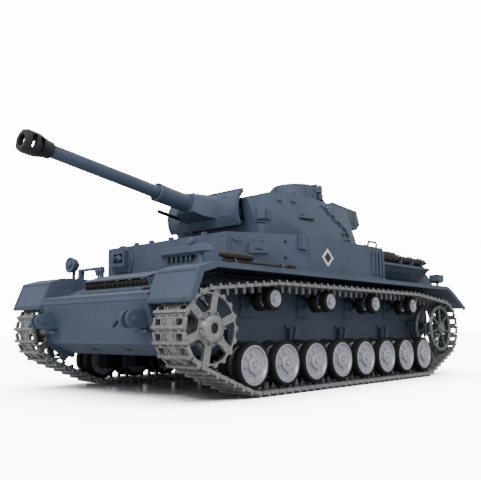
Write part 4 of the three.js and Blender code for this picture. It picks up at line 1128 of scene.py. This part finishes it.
# ------------------------------------------------------------------ hull sides, decks, rear and underside
def hull_side(name, side):
    flip = mirror(side)
    trim = Shape()
    for number in FOURS:
        low, high = box_of(f"bogie_{name}_{number}")
        x = (low.x + high.x) / 2
        base = ((-4.4, 42.6), (16.0, 42.6), (13.4, 34.2), (-2.6, 31.4))
        trim.hull([(x + a, HULL_Y + b, c) for a, c in base for b in (-0.2, 1.0)], flip)
        for dx, z in ((-2.0, 40.4), (1.4, 40.4), (-1.4, 37.6), (13.0, 40.6), (13.0, 38.0), (10.8, 35.2)):
            rivet(trim, flip @ move(x + dx, HULL_Y + 1.0, z), 0.45)
        stop = ((4.6, 41.2), (9.6, 41.2), (12.0, 32.4), (7.4, 32.4))
        trim.hull([(x + a, HULL_Y + b, c) for a, c in stop for b in (3.6, 5.6)], flip)
        centre, radius = disc_of(f"return_roller_{name}_{number}")
        stub = [(0, -0.2), (5.6, -0.2), (5.6, 1.6), (4.6, 2.4), (3.4, 6.4), (0, 6.4)]
        trim.turn(stub, 24, "y", (centre.x, HULL_Y, centre.z), flip)
        foot = ((5, -3, -0.2), (7, -11.5, -0.2), (4, -3, 2.0), (6, -11, 0.9))
        trim.hull([(centre.x + a, HULL_Y + b, centre.z + c) for half, c, b in foot
            for a in (-half, half)], flip)
        for u, w in circle(6, 4.9):
            rivet(trim, flip @ move(centre.x + u, HULL_Y + 1.6, centre.z + w), 0.4)
    low, high = box_of("lower_hull")
    start, end = low.x + 14, high.x - 24
    trim.box((start, end), (HULL_Y - 0.2, HULL_Y + 1.3), (24.2, 25.6), flip)
    trim.box((low.x + 2, 116), (HULL_Y - 0.2, HULL_Y + 0.8), (70.4, 71.8), flip)
    count = int((end - start) / 9)
    for k in range(count):
        x = start + 4 + k * 9
        rivet(trim, flip @ move(x, HULL_Y, 27.4), 0.5)
        rivet(trim, flip @ move(x, HULL_Y, 68.6), 0.5)
        if k % 2:
            rivet(trim, flip @ move(x, HULL_Y, 46.4), 0.45)
    centre, radius = disc_of(f"sprocket_{name}")
    trim.turn([(3.6, -0.2), (17.5, -0.2), (17.0, 1.0), (12.0, 1.4), (11.0, 4.4), (9.6, 5.0), (3.6, 5.0)],
        36, "y",
              (centre.x, HULL_Y, centre.z), flip)
    for u, w in circle(12, 14.6):
        bolt(trim, flip @ move(centre.x + u, HULL_Y + 1.1, centre.z + w), 0.8, 0.7)
    centre, radius = disc_of(f"idler_{name}")
    housing = [(3.4, -0.2), (9.5, -0.2), (9.0, 1.6), (6.0, 2.2), (5.4, 6.6), (3.4, 6.6)]
    trim.turn(housing, 28, "y", (centre.x, HULL_Y, centre.z), flip)
    trim.box((centre.x - 2.0, centre.x + 16.0), (HULL_Y - 0.2, HULL_Y + 2.4),
        (centre.z + 3.0, centre.z + 6.0), flip)
    for u, w in circle(8, 7.8):
        bolt(trim, flip @ move(centre.x + u, HULL_Y + 1.5, centre.z + w), 0.6, 0.6)
    piece(f"hull_side_fittings_{name}", trim, PAINT, "hull", ease=0.15)

    # trailing side: intake ribs, rear tool, tail lamp
    ribs, dark = Shape(), Shape()
    rib = ((66.8, 99.4), (68.2, 99.6), (78.6, 92.4), (77.4, 91.6), (66.8, 97.0))
    for k in range(14):
        x = -61.0 - k * 5.7
        ribs.hull([(x + a, y, z) for a in (-0.7, 0.7) for y, z in rib], flip)
    ribs.hull([(x, y, z) for x in (-56.6, -138.8)
        for y, z in ((66.4, 98.2), (66.4, 100.4), (69.4, 100.0), (69.6, 98.0))], flip)
    ribs.hull([(x, y, z) for x in (-56.6, -138.8)
        for y, z in ((76.6, 91.2), (79.2, 91.4), (79.2, 93.4), (77.2, 93.8))], flip)
    # A dark sheet under the intake ribs: painted shade between them.
    dark.hull([(x, y, z) for x in (-58, -137.4)
        for y, z in ((68.4, 98.6), (77.4, 92.8), (77.0, 92.0), (68.0, 97.6))], flip)
    for k in range(5):
        x = -66.0 - k * 15.6
        ribs.box((-5.6, 5.6), (-0.3, 0.7), (-0.8, 0.8),
            flip @ seat("upper_hull", (x, BESIDE, 87.4), (0, -1, 0)))
        rivet(ribs, flip @ seat("upper_hull", (x + 7.8, BESIDE, 87.4), (0, -1, 0)), 0.6)
    ribs.turn([(0, 76.2), (3.0, 76.2), (3.0, 77.2), (1.2, 77.6), (1.2, 83.0), (0, 83.0)], 16, "z",
        (-149.5, 80.5, 0), flip)
    ribs.hull([(x, y, z) for x, y in ((-154.4, 76), (-154.4, 85), (-142.6, 76), (-142.6, 85))
        for z in (82.4, 88.2)] +
              [(x, y, 80.6) for x in (-152, -146) for y in (77.4, 83.6)], flip)
    piece(f"intake_ribs_{name}", ribs, PAINT, "hull", ease=0.15)
    # Two dark lenses on the tail lamp's rear face.
    for y in (78.4, 82.6):
        dark.rod(1.5, -154.5, -153.6, "x", (0, y, 85.0), 14, matrix=flip)
    piece(f"intake_shade_and_lamp_lenses_{name}", dark, DARK, "hull")
    tool = Shape()
    tool.rod(2.9, -137.6, -62, "x", (0, 73.6, 98.8), 16, 0.5, flip)
    tool.turn([(0, -84), (3.0, -84), (4.3, -80.5), (4.4, -66), (3.4, -61), (0, -59)], 20, "x",
        (0, 73.6, 99.4), flip)
    tool.box((-141.6, -134), (71.6, 75.6), (97.6, 99.4), flip)
    piece(f"deck_tool_{name}", tool, BROWN, "hull", ease=0.25)
    holders = Shape()
    for x in (-90, -110, -129):
        holders.box((x - 1.2, x + 1.2), (66.8, 76.8), (94.2, 97.0), flip)
        holders.wire([(x, 70.2, 96.4), (x, 70.2, 100.6), (x, 72.0, 102.2), (x, 75.2, 102.2),
            (x, 77.0, 100.6),
                      (x, 77.0, 95.0)], 0.6, 8, flip)
    piece(f"deck_tool_clamps_{name}", holders, PAINT, "hull", ease=0.15)


def hatch_plate(shape, x, y, size_x, size_y, z, hinges=()):
    """A raised hatch with a chamfered rim, lifting handle and hinge barrels."""
    spot = move(x, y, z)
    half_x, half_y = size_x / 2, size_y / 2
    shape.hull([(a, b, c) for a in (-half_x, half_x) for b in (-half_y, half_y) for c in (-0.3, 0.8)] +
               [(a, b, 1.3) for a in (0.7 - half_x, half_x - 0.7) for b in (0.7 - half_y, half_y - 0.7)],
               spot)
    shape.wire([(-2.6, 0, 1.1), (-2.6, 0, 2.6), (2.6, 0, 2.6), (2.6, 0, 1.1)], 0.45, 8, spot)
    for a, b in hinges:
        shape.rod(0.8, a - 2.4, a + 2.4, "x", (0, b, 1.2), 12, matrix=spot)
        shape.box((a - 1.4, a + 1.4), (min(b, b * 0.72), max(b, b * 0.72)), (0.6, 1.6), spot)


def decks():
    roof = box_of("upper_hull")[1].z
    trim, dark = Shape(), Shape()
    for side in (1, -1):
        hatch_plate(trim, 74, side * 34, 24, 22, roof - 1.6, [(-6, side * 12.2), (6, side * 12.2)])
        trim.box((50, 56), (side * 34 - 6, side * 34 + 6), (roof - 0.6, roof + 0.9))
        for x in (-43.0, 40.0):
            trim.wire([(x - 2, side * 70, roof - 0.3), (x - 2, side * 70, roof + 2.4),
                (x + 2, side * 70, roof + 2.4),
                       (x + 2, side * 70, roof - 0.3)], 0.5)
        for x in range(-48, 40, 11):
            rivet(trim, move(x, side * 76.4, roof), 0.5, "z")
    # engine deck
    deck = ENGINE_DECK
    for x, y, a, b in ((-83, 31, 46, 40), (-83, -31, 46, 40), (-121, 30, 24, 38), (-121, -30, 24, 38)):
        hinge_y = math.copysign(b / 2, y)
        hatch_plate(trim, x, y, a, b, deck, [(-a / 3, hinge_y), (a / 3, hinge_y)])
    for y in (-34, 34):
        for k in range(6):
            x = -100 + k * 5.6
            if abs(x + 86) > 3:  # the hatch's handle is in between
                slat = ((-2.2, 14, 1.2), (2.2, 14, 1.2), (-1.6, 13.6, 2.6), (0.4, 13.6, 2.6))
                trim.hull([(x + a, y + b, deck + c) for a, half, c in slat for b in (-half, half)])
                # A dark strip under each slat: painted shade in the louvre's gaps.
                dark.box((x + 1.4, x + 2.4), (y - 12.8, y + 12.8), (deck + 1.25, deck + 2.2))
    for x, y in ((-66, 0), (-134, 0)):
        trim.turn([(0, -0.3), (4.2, -0.3), (4.2, 0.9), (3.4, 1.5), (0, 1.6)], 24, "z", (x, y, deck))
        for u, w in circle(6, 5.2):
            rivet(trim, move(x + u, w, deck), 0.45, "z")
    for x in range(-136, -60, 10):
        for y in (-62.5, 62.5):
            rivet(trim, move(x, y, deck), 0.5, "z")
    piece("deck_fittings", trim, PAINT, "hull", ease=0.15)
    piece("deck_louvre_shade", dark, DARK, "hull")


def rear():
    trim, dark = Shape(), Shape()
    back = box_of("lower_hull")[0].x
    muffler_high = box_of("muffler")[1]
    centre, radius = disc_of("muffler")
    mx, mz = centre.x, centre.z
    for y in (-22, 22):
        trim.turn([(radius - 0.3, -1.3), (radius + 0.6, -1.3), (radius + 0.6, 1.3), (radius - 0.3, 1.3)],
            36, "y", (mx, y, mz))
        trim.box((mx, back + 0.2), (y - 1.4, y + 1.4), (mz + radius - 3.2, mz + radius + 1.2))
    for side in (1, -1):
        end_cap = [(0, 0), (3.0, 0), (3.0, 1.0), (1.6, 1.4), (0, 1.4)]
        trim.turn(end_cap, 20, "y", matrix=mirror(side) @ move(mx, muffler_high.y, mz))
        half_turn = (math.pi / 2 + math.pi * k / 10 for k in range(11))
        ear = [(back - 7 + 4.2 * math.cos(a), 43 + 4.2 * math.sin(a)) for a in half_turn]
        outline = ear + [(back + 1, 38.8), (back + 1, 47.2)]
        for y in (38, 43):
            trim.prism(outline, *span(side, y - 0.8, y + 0.8))
        trim.rod(1.2, *span(side, 36.4, 44.6), "y", (back - 7, 0, 43), 12)
        for z in (50, 58, 66):
            for y in (30, 46, 54):
                bolt(trim, move(back, side * y, z) @ spin(math.pi, "Z"), 0.8, 0.7, "x")
        trim.box((back - 1.4, back + 0.4), span(side, 49, 56.6), (44, 70))
        trim.hull([(back - a, side * y, z) for a, z in ((-0.3, 62), (-0.3, 70), (3.4, 63), (3.4, 69))
            for y in (44.4, 50.4)])
    # tow hitch
    trim.box((back - 1.6, back + 0.4), (-10, 10), (39.4, 46))
    for y in (-3.4, 3.4):
        trim.box((back - 9, back), (y - 1, y + 1), (40.2, 45.4))
    trim.rod(1.3, 38.6, 47.4, "z", (back - 6.4, 0, 0), 14)
    for side in (1, -1):
        for z in (40.8, 44.6):
            bolt(trim, move(back - 1.5, side * 7.8, z) @ spin(math.pi, "Z"), 0.7, 0.6, "x")
    # upper rear plate
    trim.box((REAR_X - 1.0, REAR_X + 0.5), (-52, 52), (79.2, 82.2))
    for y in range(-48, 52, 12):
        bolt(trim, move(REAR_X - 1.0, y, 80.7) @ spin(math.pi, "Z"), 0.7, 0.6, "x")
    piece("rear_fittings", trim, PAINT, "hull", ease=0.2)
    pipe = Shape()
    pipe.turn([(1.6, 0), (2.6, 0), (2.6, 9), (1.6, 9)], 18, "z", (mx - 1, 25, mz + radius - 1.0))
    piece("exhaust_pipe", pipe, BROWN, "hull", ease=0.2)


def underside():
    low, high = box_of("battery_door")
    bottom = low.z
    trim, dark = Shape(), Shape()
    for k in range(7):
        x = low.x + 8 + k * 4
        dark.box((x, x + 1.6), (-14, 14), (bottom - 0.25, bottom + 0.3))
    inset = 3.4
    ends, edges = (low.x + inset, high.x - inset), (low.y + inset, high.y - inset)
    for x, y in [(x, y) for x in ends for y in edges]:
        trim.turn([(0, 0.4), (1.9, 0.4), (1.9, -0.3), (1.4, -0.7), (0, -0.7)], 16, "z", (x, y, bottom))
        # A dark cross on each screw head: painted shade in its slot. The strips above are the door's own
        # grip ribs.
        dark.box((x - 1.2, x + 1.2), (y - 0.22, y + 0.22), (bottom - 0.78, bottom - 0.5))
        dark.box((x - 0.22, x + 0.22), (y - 1.2, y + 1.2), (bottom - 0.78, bottom - 0.5))
    piece("door_screws", trim, ZINC, "hull", ease=0.1)
    piece("door_ribs_and_slot_shade", dark, BLACK, "hull")
    belly = Shape()
    for x in (100, 60, 40, -80, -110, -140):
        for y in (-40, 40):
            belly.turn([(0, 0.3), (2.4, 0.3), (2.4, -0.4), (1.9, -0.8), (0, -0.8)], 18, "z",
                (x, y, bottom))
    for y in (-52.5, 52.5):
        belly.box((-146, 142), (y - 1.0, y + 1.0), (bottom - 0.5, bottom + 0.2))
    piece("belly_fittings", belly, PAINT, "hull", ease=0.15)


def gun_fittings():
    """Lip, facets and collars on the mantlet and gun, which ride with the gun."""
    frame_of_gun = move(*TRUNNION) @ spin(-GUN_RISE, "Y")
    trim = Shape()
    half, radius, back, low = 36.5, 19.1, 4.6, 1.1
    for turn in (-44, 44):
        a = math.radians(turn)
        at = frame_of_gun @ move(radius * math.cos(a) - back, 0, radius * math.sin(a) - low)
        at = at @ spin(-a, "Y")
        trim.box((-1.6, 0.5), (-half + 0.2, half - 0.2), (-0.7, 0.7), at)
    for y in (-half + 0.6, half - 0.6):
        for k in range(10):
            a, b = (math.radians(-42 + 84 * j / 10) for j in (k, k + 1))
            trim.hull([
                (r * math.cos(t) - back, y + d, r * math.sin(t) - low)
                for t in (a, b) for r in (radius - 1.4, radius + 0.45) for d in (-0.7, 0.7)
            ], frame_of_gun)
    for y in (-22, 22):
        for z in (-8, 8):
            angle = math.atan2(z + low, radius)
            spot = move(radius * math.cos(angle) - back, y, radius * math.sin(angle) - low)
            spot = spot @ spin(-angle, "Y")
            rivet(trim, frame_of_gun @ spot, 0.9, "x")
    trim.turn([(6.2, 28.6), (7.5, 28.6), (7.5, 30.4), (6.2, 30.4)], 32, "x", matrix=frame_of_gun)
    trim.turn([(5.9, 54.6), (6.75, 54.6), (6.75, 57.9), (6.0, 58.2), (5.9, 57.6)], 32, "x",
        matrix=frame_of_gun)
    for y in (-9, 9):
        for x in (24.0, 28.0):
            bolt(trim, frame_of_gun @ move(x, y * 0.62, 8.0) @ spin(math.radians(-90), "X"), 0.7, 0.9)
    piece("gun_fittings", trim, PAINT, "gun", ease=0.15)


# ------------------------------------------------------------------ stage
# Strengths at which the floor and the backdrop come out white through the AgX view.
FLOOR_GLOW = 9.5
BACKDROP_GLOW = 14.0


def camera_only(tree, low, high):
    """A strength that is low for the light on the tank and high for what the lens sees directly."""
    path = tree.nodes.new("ShaderNodeLightPath")
    spread = tree.nodes.new("ShaderNodeMapRange")
    spread.inputs["To Min"].default_value = low
    spread.inputs["To Max"].default_value = high
    tree.links.new(path.outputs["Is Camera Ray"], spread.inputs["Value"])
    return spread.outputs["Result"]


def contact_shade(tree, reach):
    """0 on the floor close under the tank, 1 on the open floor, over a reach in metres."""
    shade = tree.nodes.new("ShaderNodeAmbientOcclusion")
    shade.samples = 16
    shade.inputs["Distance"].default_value = reach
    spread = tree.nodes.new("ShaderNodeMapRange")
    spread.inputs["From Min"].default_value = 0.25
    spread.inputs["From Max"].default_value = 0.95
    tree.links.new(shade.outputs["AO"], spread.inputs["Value"])
    return spread.outputs["Result"]


def stage():
    just_below = cad_box[0][2] - 0.3 * MM
    bpy.ops.mesh.primitive_plane_add(size=12, location=(0, 0, just_below))
    floor = bpy.context.object
    floor.name = "studio_floor"
    s = Shader("pale_floor", 0.16)
    s.colour(s.ramp(s.noise(400, 2), srgb(196, 198, 200), srgb(204, 205, 207)))
    s.roughness(s.noise(60, 2), 0.14, 0.2)
    s.base.inputs["Emission Color"].default_value = (1, 1, 1, 1)
    glow = s.node("ShaderNodeMath", operation="MULTIPLY")
    s.link(camera_only(s.tree, 0.0, FLOOR_GLOW), glow.inputs[0])
    s.link(contact_shade(s.tree, 0.09), glow.inputs[1])
    s.link(glow.outputs["Value"], s.base.inputs["Emission Strength"])
    floor.data.materials.append(s.material)

    world = bpy.data.worlds.new("studio")
    bpy.context.scene.world = world
    world.use_nodes = True
    background = world.node_tree.nodes["Background"]
    background.inputs["Color"].default_value = (1, 1, 1, 1)
    glow = camera_only(world.node_tree, 0.9, BACKDROP_GLOW)
    world.node_tree.links.new(glow, background.inputs["Strength"])

    for name, place, aim, size, power in (
        ("key", (1.35, 0.45, 1.25), (0, 0, 0.08), 1.1, 26),
        ("fill", (0.2, 1.5, 0.8), (0, 0, 0.08), 1.4, 5),
        ("back", (-1.2, -0.4, 1.4), (0, 0, 0.1), 1.0, 5),
    ):
        light = bpy.data.lights.new(name, "AREA")
        light.size = size
        light.energy = power
        lamp = bpy.data.objects.new(name, light)
        lamp.location = place
        lamp.rotation_euler = (Vector(aim) - Vector(place)).to_track_quat("-Z", "Y").to_euler()
        bpy.context.scene.collection.objects.link(lamp)


def camera():
    """Where the photograph was taken from, found by matching the wheels, fenders, nose and turret."""
    place = Vector((376.8, 330.3, 38.5)) * MM
    yaw, pitch, roll = (math.radians(v) for v in (-137.74, 8.34, -0.39))
    look = Vector((math.cos(pitch) * math.cos(yaw), math.cos(pitch) * math.sin(yaw), math.sin(pitch)))
    data = bpy.data.cameras.new("camera")
    data.lens = 46.49
    data.sensor_width = 36
    data.clip_start = 0.01
    holder = bpy.data.objects.new("camera", data)
    turn = look.to_track_quat("-Z", "Y").to_matrix() @ Matrix.Rotation(roll, 3, "Z")
    holder.matrix_world = Matrix.Translation(place) @ turn.to_4x4()
    bpy.context.scene.collection.objects.link(holder)
    bpy.context.scene.camera = holder


camera()
running_gear()
shells()
front_plate()
nose()
spare_link_rack()
lamps()
for side_name, side in SIDES.items():
    side_fittings(side_name, side)
    side_mark(side_name, side)
    hull_side(side_name, side)
turret_fittings()
cupola_fittings()
stowage_fittings()
gun_fittings()
decks()
rear()
underside()
inside_pieces()
stage()
